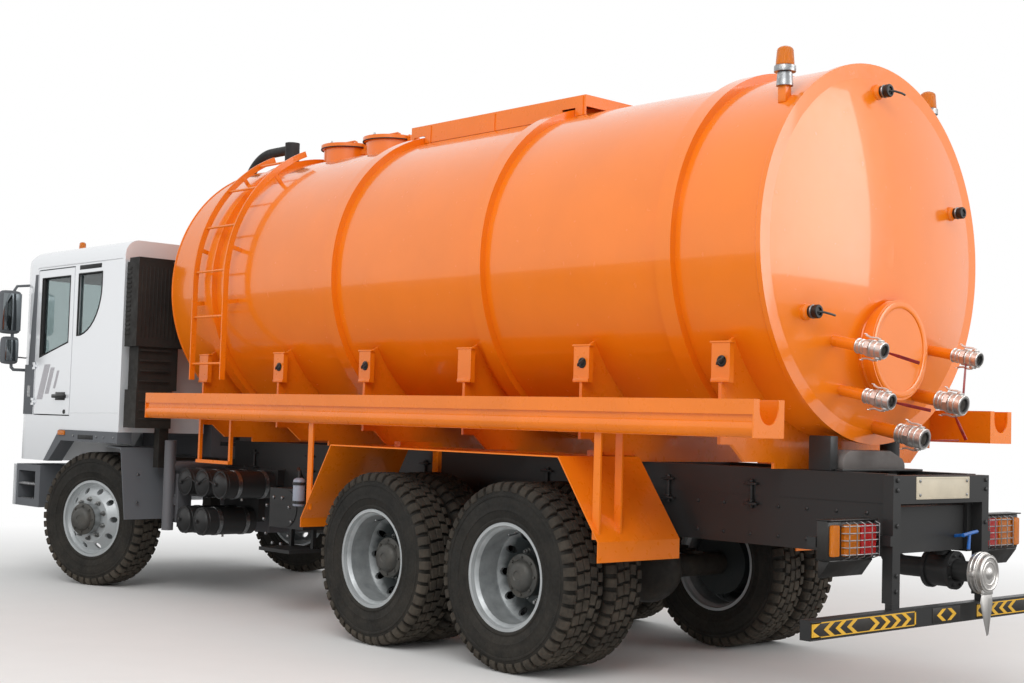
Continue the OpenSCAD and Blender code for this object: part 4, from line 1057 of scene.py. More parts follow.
@dataclass
class RearEnd(Assembly):
    """Tail lamps, chevron panels, the blank plate and the drain valve's fittings."""

    guard_wire: float = 0.003
    mark_h: float = 0.078

    def lamp(self, side: int) -> None:
        """One tail lamp: housing, red and amber lenses, a side lamp and a wire guard.

        Args:
            side: 1 for the left, -1 for the right.
        """
        word = WORDS[side]
        low, high = corners("tail_lamps")
        inner, outer = 0.520, high.y
        back, front = low.x, high.x

        def across_y(a: float, b: float) -> tuple:
            """The lower and higher Y of a stretch on this side."""
            return (a, b) if side > 0 else (-b, -a)

        y0, y1 = across_y(inner, outer)
        shell = block("shell", (back + 0.012, y0, low.z), (front, y1, high.z), 0.012)
        hood = plate("hood", Plane.SIDE, [(back - 0.006, high.z - 0.004), (front, high.z - 0.004),
                                          (front, high.z + 0.003), (back - 0.006, high.z + 0.003)], y0, y1, 0.002)
        tray = plate("shelf", Plane.SIDE, [(back + 0.010, low.z - 0.004), (front - 0.01, low.z - 0.085),
                                           (front, low.z - 0.085), (front, low.z + 0.004),
                                           (back + 0.010, low.z + 0.004)], y0 + 0.02, y1 - 0.02, 0.004)
        housing = joined(f"{word}_lamp_housing", [shell, hood, tray])
        self.keep(housing, Paint.SIGN)
        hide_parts("tail_lamps")
        # columns: name, start and end across the lamp from its inner end, finish
        for name, a, b, finish in (("red", 0.014, 0.150, Paint.RED_LENS), ("amber", 0.158, 0.294, Paint.AMBER_LENS),
                                   ("side", 0.330, 0.392, Paint.AMBER_LENS)):
            ya, yb = across_y(inner + a, inner + b)
            lens = block(f"{word}_{name}_lens", (back - 0.010, ya, low.z + 0.022), (back + 0.024, yb, high.z - 0.022),
                         0.011)
            self.keep(lens, finish)
        hoop = ((0.006, 0.006), (-0.024, 0.014), (-0.026, 0.15), (-0.024, 0.290), (0.006, 0.300))
        heights = [low.z + 0.03 + (high.z - low.z - 0.06) * i / 4 for i in range(5)]
        bars = [swept("bar", [(back + dx, side * (inner + dy), z) for dx, dy in hoop], self.guard_wire, 2)
                for z in heights]
        for i in range(5):
            y = side * (inner + 0.02 + 0.065 * i)
            bars.append(swept("post", [(back + 0.008, y, high.z - 0.006), (back - 0.028, y, high.z - 0.020),
                                       (back - 0.028, y, low.z + 0.020), (back + 0.008, y, low.z + 0.006)],
                              self.guard_wire, 2))
        self.keep(joined(f"{word}_lamp_guard", bars), Paint.STEEL)

    def mark(self, y: float, z: float, point: int, reach: float = 0.052, stroke: float = 0.036) -> list:
        """A chevron's outline across and up, with its point to the left (1) or the right (-1)."""
        half = self.mark_h / 2 - 0.008
        return [(y, z), (y - point * reach, z + half), (y - point * (reach + stroke), z + half),
                (y - point * stroke, z), (y - point * (reach + stroke), z - half), (y - point * reach, z - half)]

    def panel(self, name: str, y_left: float, y_right: float, marks: list, border: bool = True) -> None:
        """A black panel on the under-run bar with raised yellow marks.

        Args:
            name: Start of its pieces' names.
            y_left: Its left end.
            y_right: Its right end.
            marks: Rows of (distance from the left end, point) of its chevrons.
            border: Whether it has a yellow end strip and corner wedges.
        """
        low, _ = corners("underrun_bar")
        z = low.z + 0.048
        half = self.mark_h / 2
        face = low.x
        self.keep(block(f"{name}_panel", (face - 0.003, y_right, z - half), (face + 0.001, y_left, z + half), 0.001),
                  Paint.SIGN)
        proud, sunk = face - 0.0045, face - 0.002
        pieces = [plate("mark", Plane.CROSS, self.mark(y_left - place, z, point), proud, sunk)
                  for place, point in marks]
        if border:
            for y, sign in ((y_left, 1), (y_right, -1)):
                pieces.append(plate("strip", Plane.CROSS, [(y, z - half + 0.003), (y, z + half - 0.003),
                                                           (y - sign * 0.012, z + half - 0.003),
                                                           (y - sign * 0.012, z - half + 0.003)], proud, sunk))
            top, bottom = z + half - 0.003, z - half + 0.003
            for edge in (top, bottom):
                sign = 1 if edge > z else -1
                inside = edge - sign * 0.005
                pieces.append(plate("line", Plane.CROSS, [(y_left, edge), (y_right, edge), (y_right, inside),
                                                          (y_left, inside)], proud, sunk))
                pieces.append(plate("wedge", Plane.CROSS, [(y_left - 0.010, edge), (y_left - 0.075, edge),
                                                           (y_left - 0.012, z + sign * 0.004)], proud, sunk))
        self.keep(joined(f"{name}_marks", pieces), Paint.YELLOW)

    def blank_plate(self) -> None:
        """A cream plate with a raised rim and four screws, and nothing on it."""
        low, _ = corners("rear_frame")
        x, half, z0, z1 = low.x, 0.260, 1.082, 1.198
        face = block("blank_plate", (x - 0.004, -half, z0), (x + 0.001, half, z1), 0.0015)
        self.keep(face, Paint.PLATE)
        rim = swept("blank_plate_rim", [(x - 0.004, s * (half - 0.008), z) for s, z in
                                        ((-1, z0 + 0.008), (1, z0 + 0.008), (1, z1 - 0.008), (-1, z1 - 0.008),
                                         (-1, z0 + 0.008))], 0.0018, 1)
        self.keep(rim, Paint.PLATE)
        screws = [rod("screw", (x - 0.004, y, z), (x - 0.009, y, z), 0.008, 12, 0.001)
                  for y in (-half + 0.03, half - 0.03) for z in (z0 + 0.022, z1 - 0.022)]
        self.keep(joined("blank_plate_screws", screws), Paint.STEEL)

    def drain(self) -> None:
        """Flanges, bolts, a blue lever and a ringed silver cap with its hanging keeper plate."""
        low, high = corners("drain_valve")
        y, z = (low.y + high.y) / 2, 0.690
        tail = corners("couplings")[0].x
        body_x0, body_x1 = tail + 0.200, tail + 0.350
        flanges = []
        for x in (body_x0 + 0.004, body_x1 - 0.004):
            flanges.append(turned("flange", [(-0.012, 0.060), (-0.012, 0.104), (0.012, 0.104), (0.012, 0.060)],
                                  (x, y, z), (1, 0, 0), 36))
            for i in range(8):
                a = math.tau * (i + 0.5) / 8
                spot = Vector((x, y + 0.084 * math.cos(a), z + 0.084 * math.sin(a)))
                reach = Vector((0.024, 0, 0))
                flanges.append(rod("bolt", spot - reach, spot + reach, 0.009, 6, 0.0015))
        bonnet = turned("bonnet", [(0.07, 0.052), (0.10, 0.048), (0.105, 0.036), (0.135, 0.032), (0.137, 0.001)],
                        ((body_x0 + body_x1) / 2, y, z), (0, 0, 1), 28)
        self.keep(joined("drain_valve_flanges", [*flanges, bonnet]), Paint.CHASSIS)
        x = (body_x0 + body_x1) / 2
        stem = rod("stem", (x, y, z + 0.12), (x, y, z + 0.185), 0.014, 16, 0.002)
        hub = block("hub", (x - 0.022, y - 0.022, z + 0.158), (x + 0.022, y + 0.022, z + 0.186), 0.006)
        grip = swept("grip", [(x + 0.02, y, z + 0.176), (x - 0.08, y + 0.010, z + 0.186),
                              (x - 0.165, y + 0.015, z + 0.200), (x - 0.168, y + 0.030, z + 0.120)], 0.010)
        bar = swept("bar", [(x - 0.160, y - 0.070, z + 0.212), (x - 0.164, y, z + 0.206),
                            (x - 0.164, y + 0.080, z + 0.196)], 0.010)
        skirt = turned("skirt", [(0.128, 0.036), (0.150, 0.030), (0.160, 0.020), (0.160, 0.001)],
                       (x, y, z), (0, 0, 1), 20)
        self.keep(joined("drain_lever", [stem, hub, grip, bar, skirt]), Paint.BLUE)
        rings = [ring("ring", (tail + dx, y, z), (1, 0, 0), r, t, 48, 8)
                 for dx, r, t in ((0.0, 0.086, 0.006), (0.002, 0.060, 0.005), (0.030, 0.108, 0.004),
                                  (0.052, 0.108, 0.004), (0.024, 0.103, 0.005))]
        dome = turned("dome", [(-0.012, 0.0001), (-0.011, 0.016), (-0.006, 0.028), (0.001, 0.034)],
                      (tail, y, z), (1, 0, 0), 32)
        lugs = [plate("lug", Plane.CROSS, [(y + s * 0.100, z - 0.02), (y + s * 0.124, z - 0.012),
                                           (y + s * 0.124, z + 0.012), (y + s * 0.100, z + 0.02)],
                      tail + 0.026, tail + 0.058, 0.003) for s in SIDES]
        self.keep(joined("drain_cap_rings", [*rings, dome, *lugs]), Paint.ALLOY)
        keeper = plate("keeper", Plane.CROSS,
                       [(y - 0.052, z - 0.105), (y + 0.052, z - 0.105), (y + 0.066, z - 0.155),
                        (y - 0.006, z - 0.330), (y - 0.020, z - 0.322), (y - 0.060, z - 0.160)],
                       tail + 0.012, tail + 0.016, 0.001)
        fold = plate("fold", Plane.SIDE, [(tail + 0.012, z - 0.130), (tail + 0.050, z - 0.150),
                                          (tail + 0.016, z - 0.318), (tail + 0.012, z - 0.322)],
                     y - 0.022, y - 0.018, 0.001)
        strap = plate("strap", Plane.CROSS, [(y - 0.05, z - 0.085), (y + 0.05, z - 0.085), (y + 0.052, z - 0.112),
                                             (y - 0.052, z - 0.112)], tail + 0.006, tail + 0.020, 0.002)
        self.keep(joined("drain_keeper", [keeper, fold, strap]), Paint.ALLOY)

    def block_and_posts(self) -> None:
        """The grey rubber block under the head, a black stop beside it and bolts on the rear frame."""
        low, high = corners("subframe")
        top = high.z
        x = low.x + 0.330
        outline = [(-0.26, top + 0.001), (0.34, top + 0.001), (0.345, top + 0.045), (0.325, top + 0.085),
                   (0.28, top + 0.112), (-0.12, top + 0.112), (-0.235, top + 0.070), (-0.26, top + 0.040)]
        self.keep(plate("rest_block", Plane.CROSS, outline, x, x + 0.12, 0.012), Paint.GREY_BLOCK)
        base = block("rest_base", (x - 0.03, -0.39, top + 0.0005), (x + 0.15, 0.39, top + 0.012), 0.002)
        stop = block("stop", (x + 0.02, 0.29 + 0.07, top), (x + 0.16, 0.43, top + 0.185), 0.006)
        self.keep(joined("rest_plates", [base, stop]), Paint.CHASSIS)
        back, post_y = corners("rear_frame")[0].x, 0.435
        bolts = [rod("bolt", (back - 0.008, s * post_y, z), (back + 0.002, s * post_y, z), 0.012, 6, 0.0015)
                 for s in SIDES for z in (1.13, 1.18, 0.62, 0.70, 0.95)]
        self.keep(joined("rear_frame_bolts", bolts), Paint.CHASSIS)

    def build(self) -> None:
        """Makes the rear end."""
        for side in SIDES:
            self.lamp(side)
        row = [(0.095, 1), (0.190, 1), (0.285, 1), (0.475, -1), (0.570, -1), (0.665, -1), (0.760, -1)]
        row = [(place + (0.088 if point < 0 else 0), point) for place, point in row]
        self.panel("left", 1.192, 0.300, row)
        mirrored = [(0.892 - place, -point) for place, point in row]
        self.panel("right", -0.300, -1.192, mirrored)
        self.panel("middle", 0.140, -0.130, [(0.040, 1), (0.230, -1)], border=False)
        self.blank_plate()
        self.drain()
        self.block_and_posts()


# ---------------------------------------------------------------- cab


@dataclass
class Cab(Assembly):
    """Window seals, trim panels, mirrors, lamps, handles, grille and steps of the cab."""

    body: str = "cab"
    skin: float = 1.220
    seal: float = 0.009

    def __post_init__(self) -> None:
        """Reads the cab's main places from its nodes."""
        shell_low, _ = corners("cab_shell")
        door_low, door_high = corners("left_door")
        glass_low, glass_high = corners("left_door_glass")
        self.rear, self.door_rear, self.door_front = shell_low.x, door_low.x, door_low.x + 0.650
        self.door_low, self.door_high = door_low.z, door_high.z
        self.glass_low, self.glass_high = glass_low, glass_high
        self.nose = self.rear + 1.930
        self.roof = corners("cab_roof")[1].z

    def outlined(self, name: str, points: list, finish: Finish, body: str, right: str, depth: float = 0.0) -> None:
        """A rubber seal round a closed outline on the cab's side, on both sides."""
        loop = [(x, self.skin + depth, z) for x, z in [*points, points[0], points[1]]]
        self.both(swept(name, loop, self.seal, 3), finish, (body, right))

    def windows(self) -> None:
        """Seals round the door and quarter windows, and a drip rail."""
        x0, x1 = self.glass_low.x, self.glass_high.x
        low, top = self.glass_low.z, self.glass_high.z
        door = [(x0, low + 0.120), (x1, low), (x1, top), (x0, top)]
        self.outlined("window_seal", door, Paint.RUBBER, "left_door", "right_door", -0.004)
        inner = plate("window_channel", Plane.SIDE, [(x1 - 0.030, low + 0.010), (x1 - 0.002, low + 0.004),
                                                     (x1 - 0.002, top - 0.004), (x1 - 0.030, top - 0.004)],
                      self.skin - 0.030, self.skin - 0.004, 0.002)
        self.both(inner, Paint.RUBBER, ("left_door", "right_door"))
        q0, q1 = self.rear + 0.370, self.door_rear - 0.080
        radius = q1 - q0
        quarter = [(q1, 2.550), (q0, 2.550), (q0, 2.441)] + arc((q1, 2.441), radius, 180, 270, 10)
        self.outlined("quarter_seal", quarter, Paint.RUBBER, "cab", "cab", -0.004)
        # a thin black block that stands for the shade inside the vent slot: painted shade
        slot = block("quarter_vent_shade", (q0 + 0.02, self.skin - 0.004, 2.585), (q1 - 0.01, self.skin + 0.003, 2.622),
                     0.003)
        self.both(slot, Paint.RUBBER, ("cab", "cab"))
        rail = swept("drip_rail", [(self.rear + 0.04, self.skin - 0.002, 2.642),
                                   (self.nose - 0.42, self.skin - 0.002, 2.642),
                                   (self.nose - 0.34, self.skin - 0.012, 2.620)], 0.007)
        self.both(rail, Paint.CAB, ("cab", "cab"))

    def panels(self) -> None:
        """Grey corner panel with its lamp, the pillar trim, and a plain grey shape on the door."""
        corner_x = self.nose - 0.300
        wide = [(corner_x + 0.306 * math.cos(math.radians(a)), self.skin - 0.300 + 0.306 * math.sin(math.radians(a)))
                for a in range(96, 49, -6)]
        outer = [(self.door_front + 0.025, self.skin + 0.006), (corner_x - 0.04, self.skin + 0.006), *wide]
        inner = [(x + (0.0 if i < 2 else -0.010), y - 0.014) for i, (x, y) in enumerate(outer)]
        panel = plate("corner_panel", Plane.FLOOR, outer + inner[::-1], 1.370, 1.800, 0.004)
        self.both(panel, Paint.TRIM, ("cab", "cab"))
        lamp = block("corner_lamp", (corner_x - 0.055, self.skin + 0.002, 1.52),
                     (corner_x - 0.010, self.skin + 0.016, 1.62), 0.008)
        self.both(lamp, Paint.CLEAR_LENS, ("cab", "cab"))
        pillar = plate("pillar_trim", Plane.SIDE,
                       [(self.door_front + 0.022, 1.80), (corner_x + 0.010, 1.80), (corner_x - 0.02, 2.20),
                        (corner_x - 0.055, 2.585), (self.door_front + 0.022, 2.585)],
                       self.skin - 0.006, self.skin + 0.004, 0.002)
        self.both(pillar, Paint.TRIM, ("cab", "cab"))
        # three slanted bars, each shorter than the one before
        bars = []
        for i, (width, height) in enumerate(((0.105, 0.300), (0.070, 0.225), (0.040, 0.150))):
            x = self.door_front - 0.045 - 0.150 * i
            z = 1.500 + 0.048 * i
            lean = 0.42 * height
            bars.append(plate("bar", Plane.SIDE, [(x, z), (x - width, z), (x - width - lean, z + height),
                                                  (x - lean, z + height)], self.skin - 0.001, self.skin + 0.0012))
        self.both(joined("door_bars", bars), Paint.STRIPE, ("left_door", "right_door"))
        seam_y = self.skin - 0.001
        seam = swept("panel_seam", [(self.rear + 0.02, seam_y, 1.405), (self.rear + 0.35, seam_y, 1.400),
                                    (self.door_rear - 0.015, seam_y, 1.392)], 0.003)
        self.both(seam, Paint.CAB, ("cab", "cab"))

    def handles(self) -> None:
        """Door handle in its cup, the lock, and the side markers on the arch trim."""
        y, x0 = self.skin, self.door_rear
        cup = block("cup", (x0 + 0.080, y - 0.004, 1.496), (x0 + 0.255, y + 0.003, 1.564), 0.003)
        grip = block("grip", (x0 + 0.060, y + 0.014, 1.514), (x0 + 0.275, y + 0.030, 1.546), 0.007)
        ends = [block("end", (x - 0.016, y - 0.002, 1.516), (x + 0.016, y + 0.020, 1.544), 0.005)
                for x in (x0 + 0.078, x0 + 0.257)]
        lock = turned("lock", [(0.0, 0.019), (0.006, 0.018), (0.008, 0.013), (0.005, 0.010), (0.005, 0.0001)],
                      (self.door_rear + 0.085, y, 1.400), (0, 1, 0), 20)
        self.both(joined("door_handle", [grip, *ends, cup, lock]), Paint.SIGN, ("left_door", "right_door"))
        trim_y = corners("arch_trims")[1].y
        marker = block("side_marker", (x0 + 0.030, trim_y - 0.004, 1.205), (x0 + 0.155, trim_y + 0.012, 1.246),
                       0.008)
        self.both(marker, Paint.AMBER_LENS, ("cab", "cab"))
        # a thin black block that stands for the shade inside the trim's slot: painted shade
        slot = block("arch_gap_shade", (self.rear + 0.40, trim_y - 0.003, 1.180), (self.rear + 0.66, trim_y + 0.003, 1.215),
                     0.004)
        self.both(slot, Paint.RUBBER, ("cab", "cab"))
        bolts = [rod("bolt", (self.rear + dx, trim_y - 0.002, 1.205), (self.rear + dx, trim_y + 0.005, 1.205),
                     0.009, 10, 0.001) for dx in (0.06, 0.22, 0.34, 0.74)]
        self.both(joined("arch_bolts", bolts), Paint.STEEL, ("cab", "cab"))

    def mirror(self) -> None:
        """Rounded main and wide-angle mirrors on a bent arm, in place of their plain nodes."""
        low, high = corners("mirrors")
        mid_x = (low.x + high.x) / 2
        y0, y1 = self.skin + 0.015, high.y
        upper = block("upper", (low.x, y0 + 0.01, 2.065), (high.x, y1, 2.450), 0.042)
        lower = block("lower", (low.x + 0.006, y0 + 0.02, 1.800), (high.x - 0.004, y1 - 0.035, 2.045), 0.036)
        shells = joined("mirror_shells", [upper, lower])
        modified(shells, "SUBSURF", levels=1, render_levels=1)
        arm = swept("arm", [(mid_x, self.skin - 0.06, 1.755), (mid_x, self.skin + 0.070, 1.755),
                            (mid_x, self.skin + 0.092, 1.775), (mid_x, self.skin + 0.095, 1.83)], 0.014)
        link = swept("link", [(mid_x, self.skin + 0.095, 2.00), (mid_x, self.skin + 0.095, 2.10)], 0.014)
        top = swept("top", [(mid_x, self.skin + 0.10, 2.44), (mid_x, self.skin + 0.07, 2.49),
                            (mid_x - 0.03, self.skin - 0.09, 2.51)], 0.012)
        shells = joined("mirrors", [shells, arm, link, top])
        for obj, word in ((across(shells, "right_mirrors"), "right"), (shells, "left")):
            obj.name = obj.data.name = f"{word}_mirrors"
            self.keep(obj, Paint.TRIM, smooth=0.9)
            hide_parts("mirrors")
        glass = [block("glass", (low.x - 0.003, a, z0), (low.x + 0.004, b, z1), 0.003)
                 for a, b, z0, z1 in ((y0 + 0.030, y1 - 0.022, 2.095, 2.420), (y0 + 0.045, y1 - 0.060, 1.830, 2.015))]
        self.both(joined("mirror_glass", glass), Paint.MIRROR, ("cab", "cab"))

    def front(self) -> None:
        """Grille slats over a black sheet of painted shade, the front band, wipers, the sun visor and a seal along the
        screen's foot.
        """
        face = self.nose
        slats = [plate("slat", Plane.SIDE, [(face - 0.002, z), (face + 0.022, z - 0.010), (face + 0.026, z + 0.006),
                                            (face - 0.002, z + 0.022)], -0.70, 0.70, 0.002)
                 for z in (1.10, 1.18, 1.26, 1.34)]
        ends = [block("end", (face - 0.002, s * 0.71 - 0.012, 1.075), (face + 0.024, s * 0.71 + 0.012, 1.385), 0.005)
                for s in SIDES]
        self.keep(joined("grille", [*slats, *ends]), Paint.TRIM)
        # a black sheet behind the slats, painted shade of the openings between them
        slat_gap_shade = plate("grille_gap_shade", Plane.CROSS, [(-0.70, 1.08), (0.70, 1.08), (0.70, 1.38), (-0.70, 1.38)],
                        face - 0.001, face + 0.004)
        self.keep(slat_gap_shade, Paint.RUBBER)
        band = plate("front_band", Plane.CROSS, [(-0.86, 1.47), (0.86, 1.47), (0.86, 1.71), (-0.86, 1.71)],
                     face - 0.001, face + 0.006, 0.002)
        self.keep(band, Paint.TRIM)
        wipers = []
        for y in (-0.62, 0.02, 0.60):
            wipers.append(rod("pivot", (face - 0.01, y, 1.765), (face + 0.032, y, 1.765), 0.016, 16, 0.002))
            wipers.append(swept("arm", [(face + 0.026, y, 1.765), (face + 0.030, y + 0.16, 1.80),
                                        (face + 0.012, y + 0.40, 1.86)], 0.006))
            wipers.append(swept("blade", [(face + 0.006, y + 0.12, 1.835), (face + 0.006, y + 0.40, 1.862),
                                          (face + 0.004, y + 0.62, 1.872)], 0.006))
        self.keep(joined("wipers", wipers), Paint.SIGN)
        visor = plate("sun_visor", Plane.SIDE, [(face - 0.215, 2.640), (face - 0.120, 2.565), (face - 0.112, 2.572),
                                                (face - 0.205, 2.652)], -0.98, 0.98, 0.003)
        self.keep(visor, Paint.TRIM)
        sill = [(face - 0.004, side, 1.835) for side in (-1, 1)]
        self.keep(swept("screen_seal", sill, 0.010), Paint.RUBBER)

    def bumper(self) -> None:
        """Headlamps, fog lamps and a blank plate on the bumper, and treads on the steps."""
        _, high = corners("front_bumper")
        lenses, rims = [], []
        for s in SIDES:
            y0, y1 = sorted((s * 0.60, s * 0.88))
            lenses.append(block("head", (high.x - 0.012, y0, 0.705), (high.x + 0.010, y1, 0.855), 0.014))
            y0, y1 = sorted((s * 0.585, s * 0.895))
            rims.append(block("rim", (high.x - 0.014, y0, 0.690), (high.x + 0.003, y1, 0.870), 0.008))
            lenses.append(turned("fog", [(0.0, 0.052), (0.010, 0.046), (0.013, 0.024), (0.014, 0.0001)],
                                 (high.x, s * 0.42, 0.665), (1, 0, 0), 28))
        self.keep(joined("head_lamps", lenses), Paint.CLEAR_LENS, "chassis")
        self.keep(joined("head_lamp_rims", rims), Paint.TRIM, "chassis")
        # a thin black block that stands for the shade inside the bumper's opening: painted shade
        slot = block("bumper_opening_shade", (high.x - 0.004, -0.34, 0.745), (high.x + 0.003, 0.34, 0.835), 0.004)
        self.keep(slot, Paint.RUBBER, "chassis")
        blank = block("front_plate", (high.x - 0.002, -0.26, 0.600), (high.x + 0.004, 0.26, 0.715), 0.002)
        self.keep(blank, Paint.PLATE, "chassis")
        step_low, step_high = corners("cab_steps")
        shelf = block("shelf", (step_low.x + 0.09, step_high.y - 0.25, 0.757),
                      (step_high.x - 0.04, step_high.y - 0.004, 0.775), 0.003)
        pieces = [shelf]
        # columns: first rib from the step's rear, how far in it starts, its bottom and top
        for first, inset, z0, z1 in ((0.105, 0.235, 0.774, 0.781),
                                     (0.115, 0.240, step_low.z + 0.065, step_low.z + 0.071)):
            pieces += [block("rib", (step_low.x + first + 0.031 * i, step_high.y - inset, z0),
                             (step_low.x + first + 0.012 + 0.031 * i, step_high.y - 0.012, z1), 0.002)
                       for i in range(9)]
        self.both(joined("step_treads", pieces), Paint.STEEL, ("chassis", "chassis"))

    def roof_gear(self) -> None:
        """The roof beacon and a roof hatch."""
        TankGear().beacon("roof_beacon", Vector((self.rear + 1.37, 0.90, self.roof - 0.012)), "cab", 0.62)
        hatch = block("roof_vent", (self.rear + 0.55, -0.30, self.roof - 0.01),
                      (self.rear + 1.10, 0.30, self.roof + 0.028), 0.012)
        self.keep(hatch, Paint.CAB)

    def build(self) -> None:
        """Makes the cab's outside detail."""
        self.windows()
        self.panels()
        self.handles()
        self.mirror()
        self.front()
        self.bumper()
        self.roof_gear()


# ---------------------------------------------------------------- seats


@dataclass
class Seats(Assembly):
    """Two padded seats in place of their plain node."""

    body: str = "cab"

    def cushion(self, name: str, low: tuple, high: tuple, bow: float) -> bpy.types.Object:
        """A crowned cushion with rounded edges.

        Args:
            name: The piece's name.
            low: Its lowest corner.
            high: Its highest corner.
            bow: How far its middle stands out of its edges.

        Returns:
            The cushion.
        """
        obj = block(name, low, high, 0.028)
        for _ in range(2):
            modified(obj, "SUBSURF", levels=1, render_levels=1)
        centre = (Vector(low) + Vector(high)) / 2
        half = (Vector(high) - Vector(low)) / 2
        for vertex in obj.data.vertices:
            away = vertex.co - centre
            share = [1 - min(abs(away[i]) / half[i], 1) ** 2 for i in range(3)]
            for i in range(3):
                others = share[(i + 1) % 3] * share[(i + 2) % 3]
                vertex.co[i] += math.copysign(bow * others, away[i]) * min(abs(away[i]) / half[i], 1)
        return obj

    def build(self) -> None:
        """Makes both seats: base, cushion, back and headrest."""
        low, high = corners("seats")
        inner, outer = high.y - 0.5, high.y
        mid = (inner + outer) / 2
        sit, back = low.z + 0.20, low.x + 0.12
        for side, word in WORDS.items():
            y0, y1 = (inner, outer) if side > 0 else (-outer, -inner)
            middle_y = side * mid
            pads = [self.cushion("cushion", (low.x + 0.05, y0 + 0.006, sit),
                                 (high.x - 0.006, y1 - 0.006, sit + 0.115), 0.004),
                    self.cushion("back", (low.x + 0.006, y0 + 0.006, sit + 0.100),
                                 (back + 0.010, y1 - 0.006, high.z - 0.205), 0.005),
                    self.cushion("headrest", (low.x + 0.020, middle_y - 0.125, high.z - 0.195),
                                 (back, middle_y + 0.125, high.z - 0.010), 0.006)]
            pads += [self.cushion("bolster", (low.x + 0.030, y - 0.040, sit + 0.13),
                                  (back + 0.030, y + 0.040, high.z - 0.30), 0.004)
                     for y in (y0 + 0.052, y1 - 0.052)]
            padded = joined(f"{word}_seat", pads)
            self.keep(padded, Paint.CLOTH, smooth=1.2)
            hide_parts("seats")
            base = block("base", (low.x + 0.02, y0 + 0.03, low.z), (high.x - 0.03, y1 - 0.03, sit + 0.012), 0.02)
            posts = [rod("post", (back - 0.05, middle_y + s * 0.05, high.z - 0.25),
                         (back - 0.05, middle_y + s * 0.05, high.z - 0.15), 0.007, 12) for s in SIDES]
            frame_piece = joined(f"{word}_seat_base", [base, *posts])
            self.keep(frame_piece, Paint.PLASTIC)
            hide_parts("seats")
            edge = [(x, y, sit + 0.1) for x, y in ((low.x + 0.07, y0 + 0.012), (high.x - 0.02, y0 + 0.012),
                                                   (high.x - 0.02, y1 - 0.012), (low.x + 0.07, y1 - 0.012))]
            seam = swept(f"{word}_seat_piping", edge, 0.005)
            self.keep(seam, Paint.PIPING)


# ---------------------------------------------------------------- chassis


